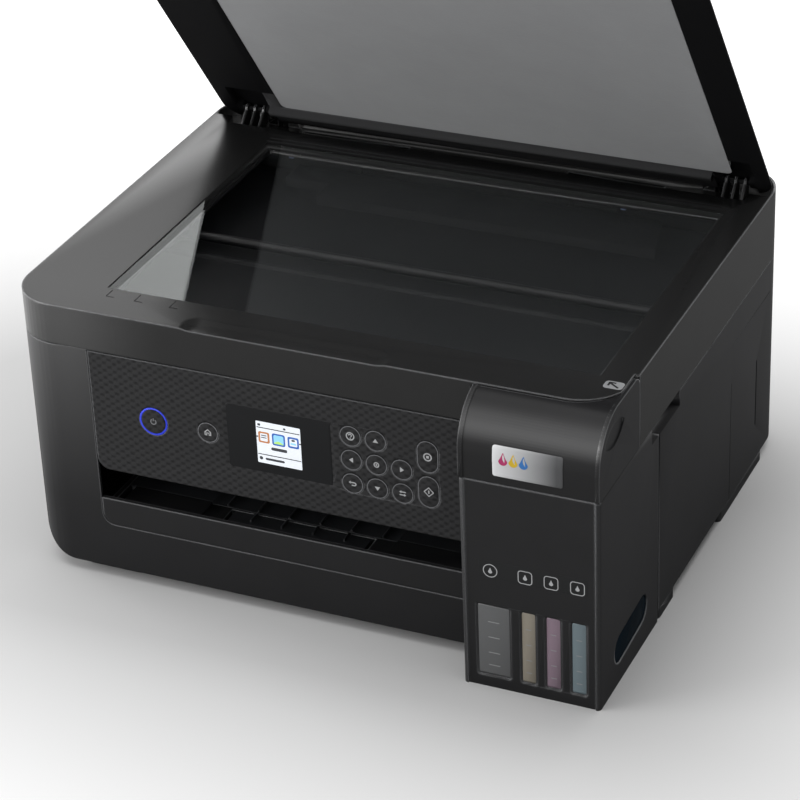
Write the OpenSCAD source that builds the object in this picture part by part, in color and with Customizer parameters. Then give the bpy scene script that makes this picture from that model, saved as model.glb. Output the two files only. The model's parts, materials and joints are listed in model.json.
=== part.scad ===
// Inkjet printer with four refillable ink tanks, standing with its lid raised.
// X runs to the right, Y from the front to the back, Z up from the table.
// Lengths are worked out from the front face of the tank unit, where Y is 0,
// and seat() then moves each piece so that the middle of the footprint is the origin.

/* [Case] */
// Overall width
unit_w = 375; // [370:1:385]
// Overall depth, from the tank unit to the back of the paper feeder
unit_d = 347; // [345:1:360]
// Height with the lid closed
unit_h = 187; // [186:1:194]
// Thickness of the moulded outer walls
case_wall = 2.5; // [2:0.1:3]
// Radius of the upright corners
corner_r = 30; // [26:1:34]
// Radius of the long round at the lower left edge
belly_r = 32; // [26:1:34]
// Height of the underside above the table
belly_z = 7; // [5:0.5:9]
// How far the tank unit stands proud of the front
tank_reach = 25.7; // [23:0.1:27]
// How far the paper feeder stands proud of the back
feeder_reach = 16; // [15:0.5:20]
// Width of the seams between outer pieces
seam = 0.45; // [0.4:0.05:0.7]

/* [Scanner unit] */
// Height of its front face
slab_h = 25.7; // [24.5:0.1:28]
// Height of its side walls
skirt_h = 45; // [42:0.5:47]
// Thickness of the top deck
deck_t = 2.5; // [2.2:0.1:3]
// Width of the deck to the left of the glass
glass_left = 52.5; // [50:0.5:58]
// Depth of the deck between the glass and the hinge trough
glass_rear = 19.4; // [16:0.1:24]
// Thickness of the glass
glass_t = 2.8; // [2.4:0.1:3]
// Distance that the glass lies under the deck
glass_sink = 0.6; // [0.4:0.1:0.8]
// Length of the hollow where a finger lifts the lid
notch_w = 126; // [100:1:140]
// Radius of the rod that carries the scan head
rod_r = 3; // [2.5:0.1:3.2]
// Angle that the scanner unit lifts by
lift_deg = 28; // [20:1:30]

/* [Lid] */
// Thickness of the lid
lid_t = 7.3; // [6.8:0.1:8.5]
// Thickness of the lid's outer skin
lid_skin = 2; // [1.8:0.1:2.2]
// Angle at which the lid stands open
lid_open = 53.3; // [30:0.1:70]
// Radius of the lid's hinge pins
lid_pin_r = 1.5; // [1.3:0.1:1.6]

/* [Tank unit] */
// Width of the tank unit
tank_w = 81.5; // [80:0.5:84]
// Depth of the tank unit
tank_d = 96; // [94:1:100]
// Depth of the cover over the filler caps
cover_d = 63; // [60:1:66]
// Radius of the cover's rounded front
cover_r = 30; // [26:1:30]
// Width of the proud rims at the two sides
rim_w = 2.7; // [2.5:0.1:3.2]
// Height by which the rims stand proud
rim_h = 0.8; // [0.5:0.1:1]
// Height of the ink windows
window_h = 46.5; // [40:0.5:50]
// Width of one colour ink tank
ink_w = 13.6; // [13:0.1:14]
// Width of the black ink tank
black_w = 24; // [22:0.5:25]
// Angle that the cover opens by
cover_deg = 92; // [70:1:93]
// Angle that a filler cap opens by
cap_deg = 80; // [60:1:85]

/* [Control panel] */
// Width of the control panel
panel_w = 239.6; // [236:0.1:242]
// Height of the control panel
panel_h = 78; // [76:0.1:80]
// Thickness of the panel's front
panel_t = 3; // [2.5:0.1:3.5]
// Diameter of the round keys
key_d = 12.9; // [12:0.1:13.4]
// Height of the two long keys
long_key_h = 20.2; // [18:0.1:21]
// Distance between neighbouring keys
key_pitch = 15.4; // [15.2:0.1:16]
// Travel of a key
key_travel = 0.8; // [0.5:0.1:1]
// Clearance round a key
key_gap = 0.3; // [0.2:0.05:0.4]
// Outer diameter of the lit ring round the power key
ring_d = 18; // [17.6:0.1:19]
// Width of the glossy display window
lens_w = 65; // [62:0.5:66]
// Height of the glossy display window
lens_h = 40.9; // [38:0.1:42]

/* [Paper trays] */
// Height of the tray's front plate
face_h = 17.4; // [16:0.1:18]
// Height of the gap through which the pages come out
mouth_h = 20.7; // [19.5:0.1:23]
// Travel of each tray stage
tray_travel = 100; // [80:1:105]
// Length of the flap that stops the pages
stop_l = 17; // [14:0.5:18]
// Travel of the rear paper support
support_travel = 105; // [80:1:110]
// Travel of each edge guide
guide_travel = 42; // [30:1:43]

/* [Paper drive] */
// Radius of the feed and eject rollers
roller_r = 8; // [7:0.1:8]
// Radius of the roller shafts
shaft_r = 4; // [3.5:0.1:4.5]
// Running clearance of a shaft in its bearing
run = 0.05; // [0.03:0.01:0.08]
// Module of the gear teeth
tooth_m = 0.8; // [0.8:0.01:0.82]
// Width of the gears
gear_w = 7; // [5:0.5:8]
// Width of the printable page
page_w = 210; // [200:1:212]
// Travel of the print carriage
print_travel = 225; // [200:1:226]
// Travel of the scan head
scan_travel = 300; // [280:1:310]

/* [Hidden] */
$fn = 48;

// Colours
case_black = "#1d1e20";
trim_black = "#141516";
deck_black = "#232427";
inner_grey = "#3a3c3f";
steel = "#b8bbbe";
pad_grey = "#8d9093";
clear_blue = "#bcd4e0";

// Outer planes
half_w = unit_w / 2;
front_y = tank_reach;
case_back = unit_d - feeder_reach;
deck_z = unit_h - lid_t;
front_seam = deck_z - slab_h;
side_seam = deck_z - skirt_h;
inner_w = half_w - case_wall;
floor_top = belly_z + 3;

// Hand grips under the scanner unit's sides
grip_y0 = 83;
grip_y1 = grip_y0 + 47;
grip_h = 10;
grip_d = 8;

// Scanner unit: lift hinge, lid hinge and glass
lift_y = case_back - 10;
lift_z = deck_z - 6.7;
roll_r = deck_z - lift_z;
step_r = lift_y - grip_y0;
pin_r = 2.2;
ear_r = 4.4;
ear_x = half_w - 38.5;
ear_w = 6;
hinge_y = lift_y - 14.6;
hinge_z = deck_z + 1.8;
hinge_x = [-half_w + 25, half_w - 25];
fin_gap = 6;
fin_w = 1.6;
trough_y0 = hinge_y - 21;
trough_y1 = hinge_y + 13.4;
trough_z = deck_z - 12.7;
dish_r = 32;
dish_d = 1.5;
dish_end = 7.7;
trough_x = half_w - 13.5;
glass_x1 = half_w - 19.5;
glass_x0 = -half_w + glass_left;
glass_y0 = front_y + 30.3;
glass_y1 = trough_y0 - glass_rear;
glass_z1 = deck_z - glass_sink;
glass_z0 = glass_z1 - glass_t;
ledge = 3;
ledge_t = 3;
ledge_z = glass_z0 - ledge_t;
base_z = front_seam + 0.3;
base_t = 2.3;
base_y1 = trough_y0 - 3.2;
base_high = base_z + base_t + 6.2;
rod_y = (glass_y0 + glass_y1) / 2;
rod_z = base_z + base_t + rod_r + 4.5;

// Lid
lid_x = inner_w + 0.2;
lid_y0 = front_y + 0.5;
lid_y1 = hinge_y + 10.4;
lid_z0 = deck_z + 0.5;
lid_rim = 1;
lid_slope = 8;
pad_x0 = glass_x0 - 5.4;
pad_x1 = glass_x1 - 6.1;
pad_y1 = hinge_y - 9.7;
lip_y0 = pad_y1 + 0.5;
lip_y1 = hinge_y - 4.2;
lip_h = 4.6;

// Tank unit
tank_x0 = half_w - tank_w;
cover_z = side_seam;
cover_pivot = [cover_d - 5.7, deck_z - 5.7];
cover_pin_r = 3;
ink_x = [half_w - 63.2, half_w - 42.8, half_w - 27.9, half_w - 13];
ink_widths = [black_w, ink_w, ink_w, ink_w];
window_x = [half_w - 72.6, half_w - 46.5, half_w - 31.9, half_w - 16.9];
window_widths = [18.9, 8.2, 8.3, 8.4];
window_z = 8;
ink_y0 = 4.2;
ink_y1 = 80;
neck_y = 15;
neck_r = 5.4;
bay_floor = side_seam - 0.5;
neck_top = bay_floor + 2.2;
cap_t = 2.6;
cap_z = neck_top + 0.3;
cap_pivot = [31, cap_z + cap_t / 2];
cap_pin_r = 1.4;
cap_hub_r = 2.4;
ear_t = 1;

// Control panel
panel_x1 = tank_x0 - 1;
panel_x0 = panel_x1 - panel_w;
panel_z1 = front_seam - 0.3;
panel_z0 = panel_z1 - panel_h;
panel_r = 7.5;
key_x = panel_x1 - 59.3;
key_z = panel_z0 + 39.3;
power_x = panel_x0 + 39.7;
home_x = power_x + 35.1;
lens_x0 = panel_x0 + 87.6;
lens_z0 = panel_z1 - 17.3 - lens_h;
lcd_w = 27.8;
lcd_h = 27.2;
lcd_x0 = lens_x0 + 18.4;
lcd_z0 = lens_z0 + 6.1;
long_x = key_x + 2 * key_pitch + 0.6;

// Trays
tray_z0 = panel_z0 - mouth_h - face_h;
face_top = tray_z0 + face_h;
tray_x0 = panel_x0 + 5;
tray_x1 = panel_x1 - 5;
tray_top = face_top - 5.1;
stage_t = 2.6;
ext_top = tray_top - stage_t - 0.4;
rail_z = tray_z0 - 0.3;
tray_y0 = front_y + 26;
tray_y1 = case_back - 175;
stop_y = front_y + 6.5;
tray_sink = 1.6;
dip_w = 60;
rib_pitch = 20;

// Paper drive
page_x = (panel_x0 + panel_x1) / 2;
feed_y = case_back - 99;
feed_z = panel_z0 - 15.7;
feed_teeth = 45;
idler_teeth = 30;
pinion_teeth = 18;
train = tooth_m * (feed_teeth + idler_teeth) / 2;
idler_y = feed_y - train;
eject_y = idler_y - train;
page_z = feed_z + roller_r;
pinion_angle = -20;
pinion_reach = tooth_m * (feed_teeth + pinion_teeth) / 2;
pinion_y = feed_y + pinion_reach * cos(pinion_angle);
pinion_z = feed_z + pinion_reach * sin(pinion_angle);
motor_shaft_r = 1.5;
frame_x0 = -150;
frame_x1 = half_w - 13.5;
plate_t = 2;
gear_x1 = frame_x0 - plate_t - 1;
gear_x0 = gear_x1 - gear_w;
rail_y0 = feed_y + 8;
rail_y1 = rail_y0 + 22;
rail_high = base_z - 26.3;
rail_low = rail_high - 30;
belt_z = rail_low + 14;
belt_w = 5;
belt_y = rail_y0 + 12;
belt_r = 6;
belt_x = [frame_x0 + 12, frame_x1 - 15];
carriage_w = 88;
carriage_x = frame_x1 - 6 - carriage_w;
carriage_y0 = eject_y + 3;
carriage_y1 = rail_y0 - 0.4;
head_z = page_z + 2;
motor_r = 13;
motor_l = 20;
small_motor_r = 8.3;

// Rear feeder
feeder_x0 = page_x - 113;
feeder_x1 = page_x + 113;
chute_y0 = case_back + 0.5;
chute_y1 = unit_d - case_wall;
support_w = 110;
support_t = 2.6;
support_y = chute_y1 - support_t - 0.3;
support_z = 52;
guide_w = 3;
guide_z = 127;
pick_r = 18;
ramp_angle = 39;
ramp_y0 = feed_y + 58;
ramp_z0 = page_z + 3;
ramp_l = 62;
pick_along = 26;
pick_y = ramp_y0 + pick_along * cos(ramp_angle) - (pick_r + 0.6) * sin(ramp_angle);
pick_z = ramp_z0 + pick_along * sin(ramp_angle) + (pick_r + 0.6) * cos(ramp_angle);

// Moves a piece so that the middle of the footprint is the origin
module seat() {
    translate([0, -unit_d / 2, 0])
        children();
}

// A block between two opposite corners
module block(a, b) {
    translate(a)
        cube([b[0] - a[0], b[1] - a[1], b[2] - a[2]]);
}

// A flat shape in (Y, Z), carried along X
module along_x(x0, x1) {
    translate([x0, 0, 0])
        rotate([90, 0, 90])
            linear_extrude(x1 - x0)
                children();
}

// A flat shape in (X, Z), carried along Y
module along_y(y0, y1) {
    translate([0, y1, 0])
        rotate([90, 0, 0])
            linear_extrude(y1 - y0)
                children();
}

// A flat shape in (X, Y), carried along Z
module along_z(z0, z1) {
    translate([0, 0, z0])
        linear_extrude(z1 - z0)
            children();
}

// A rectangle between two opposite corners
module rect(a, b) {
    translate(a)
        square([b[0] - a[0], b[1] - a[1]]);
}

// A rectangle with four round corners
module soft_rect(a, b, r) {
    rect([a[0] + r, a[1]], [b[0] - r, b[1]]);
    rect([a[0], a[1] + r], [b[0], b[1] - r]);
    for (x = [a[0] + r, b[0] - r], y = [a[1] + r, b[1] - r])
        translate([x, y])
            circle(r);
}

// A rectangle with only its lower left corner round
module left_foot_rect(a, b, r) {
    rect([a[0] + r, a[1]], b);
    rect([a[0], a[1] + r], b);
    translate([a[0] + r, a[1] + r])
        circle(r);
}

// A rod along X between x0 and x1
module rod_x(x0, x1, y, z, r) {
    translate([x0, y, z])
        rotate([0, 90, 0])
            cylinder(h = x1 - x0, r = r);
}

// A rod along Y between y0 and y1
module rod_y(x, y0, y1, z, r) {
    translate([x, y1, z])
        rotate([90, 0, 0])
            cylinder(h = y1 - y0, r = r);
}

// Turns about a line along X through (y, z)
module turn_x(angle, y, z) {
    translate([0, y, z])
        rotate([angle, 0, 0])
            translate([0, -y, -z])
                children();
}

// ---------------------------------------------------------------- case

// Plan of the case, taken in by inset
module case_plan(inset) {
    soft_rect([-half_w + inset, front_y + inset],
              [half_w - inset, case_back - inset], corner_r - inset);
}

// Front view of the case, taken in by inset
module case_front(inset) {
    left_foot_rect([-half_w + inset, belly_z + inset],
                   [half_w - inset, unit_h], belly_r - inset);
}

// The case as a solid up to the height top
module case_solid(inset, top) {
    intersection() {
        along_z(0, top)
            case_plan(inset);
        along_y(0, unit_d)
            case_front(inset);
    }
}

// Plan of the floor that closes the case from below
module floor_plan(inset) {
    intersection() {
        case_plan(case_wall + inset);
        rect([-half_w + belly_r + inset, front_y + 8 + inset],
             [half_w, case_back - 8 - inset]);
    }
}

// Slot of the hand grip at one side: -1 for the left, 1 for the right
module grip_cut(side) {
    mirror([side < 0 ? 1 : 0, 0, 0])
        block([inner_w - grip_d, grip_y0, side_seam - grip_h],
              [half_w + 1, grip_y1, side_seam + 1]);
}

// Block that the grip is hollowed from, between y0 and y1
module grip_body(side, y0, y1) {
    mirror([side < 0 ? 1 : 0, 0, 0])
        block([inner_w - grip_d - 2, y0, side_seam - grip_h - 2],
              [half_w - 0.5, y1, bay_floor - 0.1]);
}

// Ear and pins that the scanner unit lifts about
module lift_ear(x) {
    along_x(x - ear_w / 2, x + ear_w / 2) {
        translate([lift_y, lift_z])
            circle(ear_r);
        rect([lift_y, side_seam + 6], [case_back - 1, lift_z]);
    }
    rod_x(x - ear_w / 2 - 7, x + ear_w / 2 + 7, lift_y, lift_z, pin_r);
}

module main_housing() {
    color(case_black)
        seat() {
            difference() {
                union() {
                    difference() {
                        case_solid(0, deck_z);
                        case_solid(case_wall, deck_z + 1);
                    }
                    grip_body(-1, grip_y0 - 2, grip_y1 + 2);
                    grip_body(1, tank_d + seam, grip_y1 + 2);
                }
                along_z(0, floor_top)
                    floor_plan(0);
                // Bay of the tank unit
                block([tank_x0 - seam, 0, -1], [half_w + 1, tank_d + seam, unit_h]);
                // Room for the scanner unit
                block([-half_w - 1, 0, front_seam], [half_w + 1, grip_y0 + 2, unit_h]);
                along_x(-half_w - 1, half_w + 1)
                    intersection() {
                        rect([0, side_seam], [lift_y + roll_r + seam, unit_h]);
                        translate([lift_y, lift_z])
                            circle(step_r + seam, $fn = 240);
                    }
                grip_cut(-1);
                grip_cut(1);
                // Opening for the control panel and the output tray
                along_y(front_y - 1, front_y + case_wall + 1)
                    left_foot_rect([panel_x0 - seam, tray_z0 - seam],
                                   [tank_x0, unit_h], panel_r);
                // Opening where the rear feeder joins
                block([feeder_x0 + 6, case_back - 8, page_z - 8],
                      [feeder_x1 - 6, case_back + 1, side_seam + 2]);
                // Sockets at the back
                block([inlet_x - inlet_w / 2 - 0.2, case_back - 8, inlet_z - 0.2],
                      [inlet_x + inlet_w / 2 + 0.2, case_back + 1, inlet_z + inlet_h + 0.2]);
                block([usb_x - 0.3, case_back - 8, usb_z - 0.3],
                      [usb_x + usb_w + 0.3, case_back + 1, usb_z + usb_h + 0.3]);
                // Seams of the service panel in the right side
                block([half_w - 0.6, case_back - 106.4, belly_z - 1],
                      [half_w + 1, case_back - 105.6, belly_z + 81]);
                block([half_w - 0.6, case_back - 105.6, belly_z + 106.6],
                      [half_w + 1, case_back - 32, belly_z + 107.2]);
                block([half_w - 1.4, case_back - 57, belly_z + 25],
                      [half_w + 1, case_back - 55.2, belly_z + 71]);
            }
            for (x = [-ear_x, ear_x])
                lift_ear(x);
        }
}

// Feet, each from its corner a to its corner b in plan
feet = [
    [[-half_w + belly_r + 1, front_y + 9], [-half_w + belly_r + 39, front_y + 45]],
    [[-half_w + belly_r + 1, case_back - 82], [-half_w + belly_r + 39, case_back - 40]],
    [[half_w - 38, tank_d + seam], [half_w, tank_d + 28]],
    [[half_w - 38, case_back - 123], [half_w, case_back - 41]]
];

module lower_case() {
    color(case_black)
        seat() {
            difference() {
                union() {
                    along_z(belly_z, floor_top)
                        floor_plan(0.3);
                    for (foot = feet)
                        along_z(0, belly_z)
                            soft_rect(foot[0], foot[1], 3);
                }
                block([tank_x0 - seam, 0, -1], [half_w + 1, tank_d + seam - 0.01, unit_h]);
            }
            // Deck and side rails that carry the output tray
            block([tray_x0 - 4, front_y + 9, rail_z - 3], [tray_x1 + 4, tray_y1 + 6, rail_z]);
            for (x = [tray_x0 - 4, tray_x1 + 0.5])
                block([x, front_y + 9, rail_z], [x + 3.5, tray_y1 + 6, tray_top]);
            for (x = [tray_x0 + 10, page_x, tray_x1 - 10], y = [front_y + 14, tray_y1])
                block([x - 4, y - 2, floor_top - 0.5], [x + 4, y + 2, rail_z - 2.5]);
            // Posts of the main board
            for (x = [board_x0 + 5, board_x1 - 5], y = [board_y0 + 5, board_y1 - 5])
                translate([x, y, floor_top - 0.5])
                    cylinder(h = board_z - floor_top + 0.5, r = 3);
        }
}

// ---------------------------------------------------------------- control panel

// Places of the round keys in the block of arrows, from the left and from the bottom
help_at = [key_x - key_pitch, key_z + key_pitch];
up_at = [key_x, key_z + key_pitch];
left_at = [key_x - key_pitch, key_z];
ok_at = [key_x, key_z];
right_at = [key_x + key_pitch, key_z];
back_at = [key_x - key_pitch, key_z - key_pitch];
down_at = [key_x, key_z - key_pitch];
swap_at = [key_x + key_pitch, key_z - key_pitch];
stop_at = [long_x, key_z + 11.5];
start_at = [long_x, key_z - 11.1];
power_at = [power_x, key_z - 0.4];
home_at = [home_x, key_z - 0.5];
round_keys = [help_at, up_at, left_at, ok_at, right_at, back_at, down_at, swap_at, home_at];
long_keys = [stop_at, start_at];

// Outline of a long key, grown by grow
module long_outline(at, grow) {
    r = key_d / 2 + grow;
    reach = (long_key_h - key_d) / 2;
    translate([at[0], at[1] + reach])
        circle(r);
    translate([at[0], at[1] - reach])
        circle(r);
    rect([at[0] - r, at[1] - reach], [at[0] + r, at[1] + reach]);
}

module control_panel() {
    color(trim_black)
        seat()
            difference() {
                along_y(front_y, front_y + 12)
                    left_foot_rect([panel_x0, panel_z0], [panel_x1, panel_z1], panel_r);
                along_y(front_y + panel_t, front_y + 13)
                    left_foot_rect([panel_x0 + 2, panel_z0 + 2],
                                   [panel_x1 - 2, panel_z1 - 2], panel_r - 2);
                for (at = round_keys)
                    rod_y(at[0], front_y - 1, front_y + panel_t + 1, at[1], key_d / 2 + key_gap);
                for (at = long_keys)
                    along_y(front_y - 1, front_y + panel_t + 1)
                        long_outline(at, key_gap);
                rod_y(power_at[0], front_y - 1, front_y + panel_t + 1, power_at[1],
                      ring_d / 2 + 0.1);
                // Seat of the display window, and the opening behind it
                along_y(front_y - 1, front_y + 1.2)
                    soft_rect([lens_x0 - 0.1, lens_z0 - 0.1],
                              [lens_x0 + lens_w + 0.1, lens_z0 + lens_h + 0.1], 1.5);
                block([lcd_x0 - 0.5, front_y, lcd_z0 - 0.5],
                      [lcd_x0 + lcd_w + 0.5, front_y + panel_t + 1, lcd_z0 + lcd_h + 0.5]);
            }
}

module display_lens() {
    color("#0a0b0c")
        seat()
            along_y(front_y - 0.1, front_y + 1.1)
                soft_rect([lens_x0, lens_z0], [lens_x0 + lens_w, lens_z0 + lens_h], 1.4);
}

module display() {
    color("#dfe6ee")
        seat() {
            block([lcd_x0, front_y + 1.2, lcd_z0],
                  [lcd_x0 + lcd_w, front_y + panel_t + 0.5, lcd_z0 + lcd_h]);
            block([lcd_x0 - 4, front_y + panel_t + 0.1, lcd_z0 - 4],
                  [lcd_x0 + lcd_w + 4, front_y + panel_t + 4, lcd_z0 + lcd_h + 3]);
        }
}

module power_ring() {
    color("#3a62d8")
        seat()
            difference() {
                union() {
                    rod_y(power_at[0], front_y - 0.1, front_y + panel_t + 1, power_at[1],
                          ring_d / 2);
                    rod_y(power_at[0], front_y + panel_t + 0.1, front_y + panel_t + 1,
                          power_at[1], ring_d / 2 + 2);
                }
                rod_y(power_at[0], front_y - 1, front_y + panel_t + 2, power_at[1],
                      key_d / 2 + 1.2 + key_gap);
            }
}

// A round key with the flange that keeps it behind the panel
module round_key(at, r) {
    color(trim_black)
        seat() {
            rod_y(at[0], front_y - 0.2, front_y + panel_t + 3, at[1], r);
            rod_y(at[0], front_y + panel_t + 1.3, front_y + panel_t + 2.5, at[1], r + 1.1);
        }
}

// A long key with its flange
module long_key(at) {
    color(trim_black)
        seat() {
            along_y(front_y - 0.2, front_y + panel_t + 3)
                long_outline(at, 0);
            along_y(front_y + panel_t + 1.3, front_y + panel_t + 2.5)
                long_outline(at, 1.1);
        }
}

module power_key() {
    round_key(power_at, key_d / 2 + 1.2);
}

module home_key() {
    round_key(home_at, key_d / 2);
}

module help_key() {
    round_key(help_at, key_d / 2);
}

module up_key() {
    round_key(up_at, key_d / 2);
}

module left_key() {
    round_key(left_at, key_d / 2);
}

module ok_key() {
    round_key(ok_at, key_d / 2);
}

module right_key() {
    round_key(right_at, key_d / 2);
}

module back_key() {
    round_key(back_at, key_d / 2);
}

module down_key() {
    round_key(down_at, key_d / 2);
}

module swap_key() {
    round_key(swap_at, key_d / 2);
}

module stop_key() {
    long_key(stop_at);
}

module start_key() {
    long_key(start_at);
}

// ---------------------------------------------------------------- tank unit

// The slanted oblong window in the right side, grown by grow
module side_window_outline(grow) {
    r = 9 + grow;
    translate([32, 22.5])
        rotate(4) {
            circle(r);
            translate([35, 0])
                circle(r);
            rect([0, -r], [35, r]);
        }
}

module tank_housing() {
    color(case_black)
        seat() {
            difference() {
                union() {
                    difference() {
                        along_z(0, bay_floor)
                            soft_rect([tank_x0, 0], [half_w, tank_d], 2.4);
                        block([tank_x0 + case_wall, rim_h + case_wall, case_wall],
                              [half_w - case_wall, tank_d - case_wall, bay_floor - 2.5]);
                    }
                    grip_body(1, grip_y0 - 2, tank_d);
                }
                // Front between the two proud rims
                block([tank_x0 + rim_w, -1, -1], [half_w - rim_w, rim_h, unit_h]);
                // Ink windows, each in a shallow frame
                for (i = [0:3], part = [[0, case_wall + 1], [0.9, 0.4]])
                    along_y(-1, rim_h + part[1])
                        soft_rect([window_x[i] - part[0], window_z - part[0]],
                                  [window_x[i] + window_widths[i] + part[0],
                                   window_z + window_h + part[0]], 1.2 + part[0]);
                along_x(inner_w - 1, half_w + 1)
                    side_window_outline(0.2);
                for (x = ink_x)
                    translate([x, neck_y, bay_floor - 4])
                        cylinder(h = 8, r = neck_r + 0.4);
                grip_cut(1);
                for (x = ink_x)
                    rod_y(x, tank_d - case_wall - 1, tank_d + 1, tube_z, tube_r + 0.2);
            }
            // Wall that closes the filler bay towards the scanner unit
            block([tank_x0 + 3, cover_d - 5.5, bay_floor - 0.1],
                  [inner_w - 1.2, cover_d - 3, front_seam - 0.3]);
            // Ears that carry the filler caps
            for (i = [0:3], side = [-1, 1])
                cap_ear(ink_x[i] + side * (cap_w(i) / 2 + 0.9 + ear_t / 2));
        }
}

// Width of a filler cap's lever
function cap_w(i) = i == 0 ? 12 : 8;

module cap_ear(x) {
    difference() {
        along_x(x - ear_t / 2, x + ear_t / 2) {
            translate([cap_pivot[0], cap_pivot[1]])
                circle(cap_hub_r);
            rect([cap_pivot[0] - cap_hub_r, bay_floor - 0.2],
                 [cap_pivot[0] + cap_hub_r, cap_pivot[1]]);
        }
        rod_x(x - 2, x + 2, cap_pivot[0], cap_pivot[1], cap_pin_r + run);
    }
}

module side_window() {
    color(clear_blue, 0.5)
        seat()
            along_x(inner_w + 0.1, half_w - 0.6)
                side_window_outline(0);
}

// Tank number i, with its filler neck
module ink_tank(i, tint) {
    color(tint)
        seat()
            difference() {
                union() {
                    block([ink_x[i] - ink_widths[i] / 2, ink_y0, case_wall],
                          [ink_x[i] + ink_widths[i] / 2, ink_y1, bay_floor - 6]);
                    // Proud front that fills the window
                    along_y(rim_h + 0.6, ink_y0 + 0.1)
                        soft_rect([window_x[i] + 0.2, window_z + 0.2],
                                  [window_x[i] + window_widths[i] - 0.2,
                                   window_z + window_h - 0.2], 1);
                    translate([ink_x[i], neck_y, bay_floor - 7])
                        cylinder(h = neck_top - bay_floor + 7, r = neck_r);
                }
                translate([ink_x[i], neck_y, neck_top - 1.2])
                    cylinder(h = 2, r = neck_r - 1.6);
            }
}

module black_tank() {
    ink_tank(0, "#5c5f62");
}

module yellow_tank() {
    ink_tank(1, "#9c8e6b");
}

module magenta_tank() {
    ink_tank(2, "#9a6f8d");
}

module cyan_tank() {
    ink_tank(3, "#6f97ad");
}

// Cap number i, hinged behind its neck
module filler_cap(i, tint) {
    y1 = cap_pivot[0];
    z1 = cap_pivot[1];
    w = cap_w(i);
    color(tint)
        seat() {
            translate([ink_x[i], neck_y, cap_z])
                cylinder(h = cap_t, r = neck_r + 0.5);
            block([ink_x[i] - w / 2, 6.5, cap_z], [ink_x[i] + w / 2, y1, cap_z + cap_t]);
            rod_x(ink_x[i] - w / 2, ink_x[i] + w / 2, y1, z1, cap_hub_r - 0.3);
            rod_x(ink_x[i] - w / 2 - 0.9 - ear_t, ink_x[i] + w / 2 + 0.9 + ear_t, y1, z1,
                  cap_pin_r);
        }
}

module black_cap() {
    filler_cap(0, "#2a2b2d");
}

module yellow_cap() {
    filler_cap(1, "#d8c22e");
}

module magenta_cap() {
    filler_cap(2, "#b8377f");
}

module cyan_cap() {
    filler_cap(3, "#2b87c4");
}

// Tubes from the tanks through the back of the tank unit to their joint block
tube_z = bay_floor - 30;
tube_r = 1.6;
module ink_tubes() {
    color(inner_grey)
        seat() {
            for (x = ink_x)
                rod_y(x, ink_y1 + 0.2, tank_d + 3, tube_z, tube_r);
            block([ink_x[0] - 6, tank_d + 0.2, tube_z - 5],
                  [ink_x[3] + 6, tank_d + 9, tube_z + 5]);
        }
}

// Side view of the cover, taken in by inset
module cover_side(inset) {
    r = cover_r - inset;
    p = cover_pivot;
    top = deck_z - inset;
    rect([inset, cover_z - inset], [cover_d - inset, deck_z - cover_r]);
    rect([cover_r, cover_z - inset], [cover_d - inset, p[1]]);
    rect([cover_r, cover_z - inset], [p[0], top]);
    translate([cover_r, deck_z - cover_r])
        circle(r);
    translate(p)
        circle(5.7 - inset);
}

module tank_cover() {
    color(case_black)
        seat() {
            difference() {
                along_x(tank_x0, half_w)
                    cover_side(0);
                along_x(tank_x0 + case_wall, inner_w)
                    cover_side(case_wall);
                // Middle of the front, between the two proud rims
                difference() {
                    along_x(tank_x0 + rim_w, half_w - rim_w)
                        translate([-2, -2])
                            square([cover_d + 2, unit_h + 2]);
                    along_x(tank_x0, half_w)
                        cover_side(rim_h);
                    block([tank_x0, cover_d - 14, 0], [half_w, cover_d + 2, unit_h]);
                }
                // The scanner unit fills the middle
                along_z(0, unit_h)
                    intersection() {
                        case_plan(-seam);
                        rect([0, 0], [inner_w - 0.01, case_back]);
                    }
                // The round of the front ends at the cover's lower edge
                block([tank_x0 - 1, -1, 0], [half_w + 1, cover_d + 1, cover_z]);
                // Rear edge of the left wall, which swings past the scanner unit
                block([tank_x0 - 1, front_y - 1, 0],
                      [tank_x0 + case_wall + 0.1, cover_d, deck_z - case_wall]);
                // Finger hollow in the side
                along_x(half_w - 1, half_w + 1)
                    intersection() {
                        translate([cover_r - 5, deck_z - 29.7])
                            circle(21.5);
                        translate([cover_r - 8, deck_z - 1.7])
                            circle(20);
                    }
            }
            // Pivot shaft and its root on the side wall
            rod_x(inner_w - 16, inner_w + 1, cover_pivot[0], cover_pivot[1], cover_pin_r);
        }
}

// ---------------------------------------------------------------- scanner unit

// Side view of the scanner unit, with its rear edge rounded about the lift hinge
module lift_side() {
    rect([0, side_seam + seam], [lift_y, deck_z]);
    rect([0, side_seam + seam + 1], [lift_y + roll_r, lift_z]);
    translate([lift_y, lift_z])
        circle(roll_r);
}

// Inner bodies that stay when the scanner frame is hollowed
module frame_bodies() {
    // Ledge under the glass
    block([glass_x0 - 4, glass_y0 - 4, ledge_z], [glass_x1 + 4, glass_y1 + 4, deck_z]);
    // Hinge trough and rear bar
    block([-half_w, trough_y0 - 2.5, trough_z - 2.5], [half_w, trough_y1 + 1, deck_z]);
    block([-half_w, trough_y1, lift_z - 12], [half_w, case_back, deck_z]);
    // Pad under the finger hollow
    block([page_x - notch_w / 2, front_y, deck_z - deck_t - dish_d],
          [page_x + notch_w / 2 + 8, front_y + 20, deck_z]);
    // Boss round the cover's pivot shaft
    block([inner_w - 17, cover_pivot[0] - 5, cover_pivot[1] - 5],
          [inner_w, cover_pivot[0] + 5, deck_z]);
}

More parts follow.
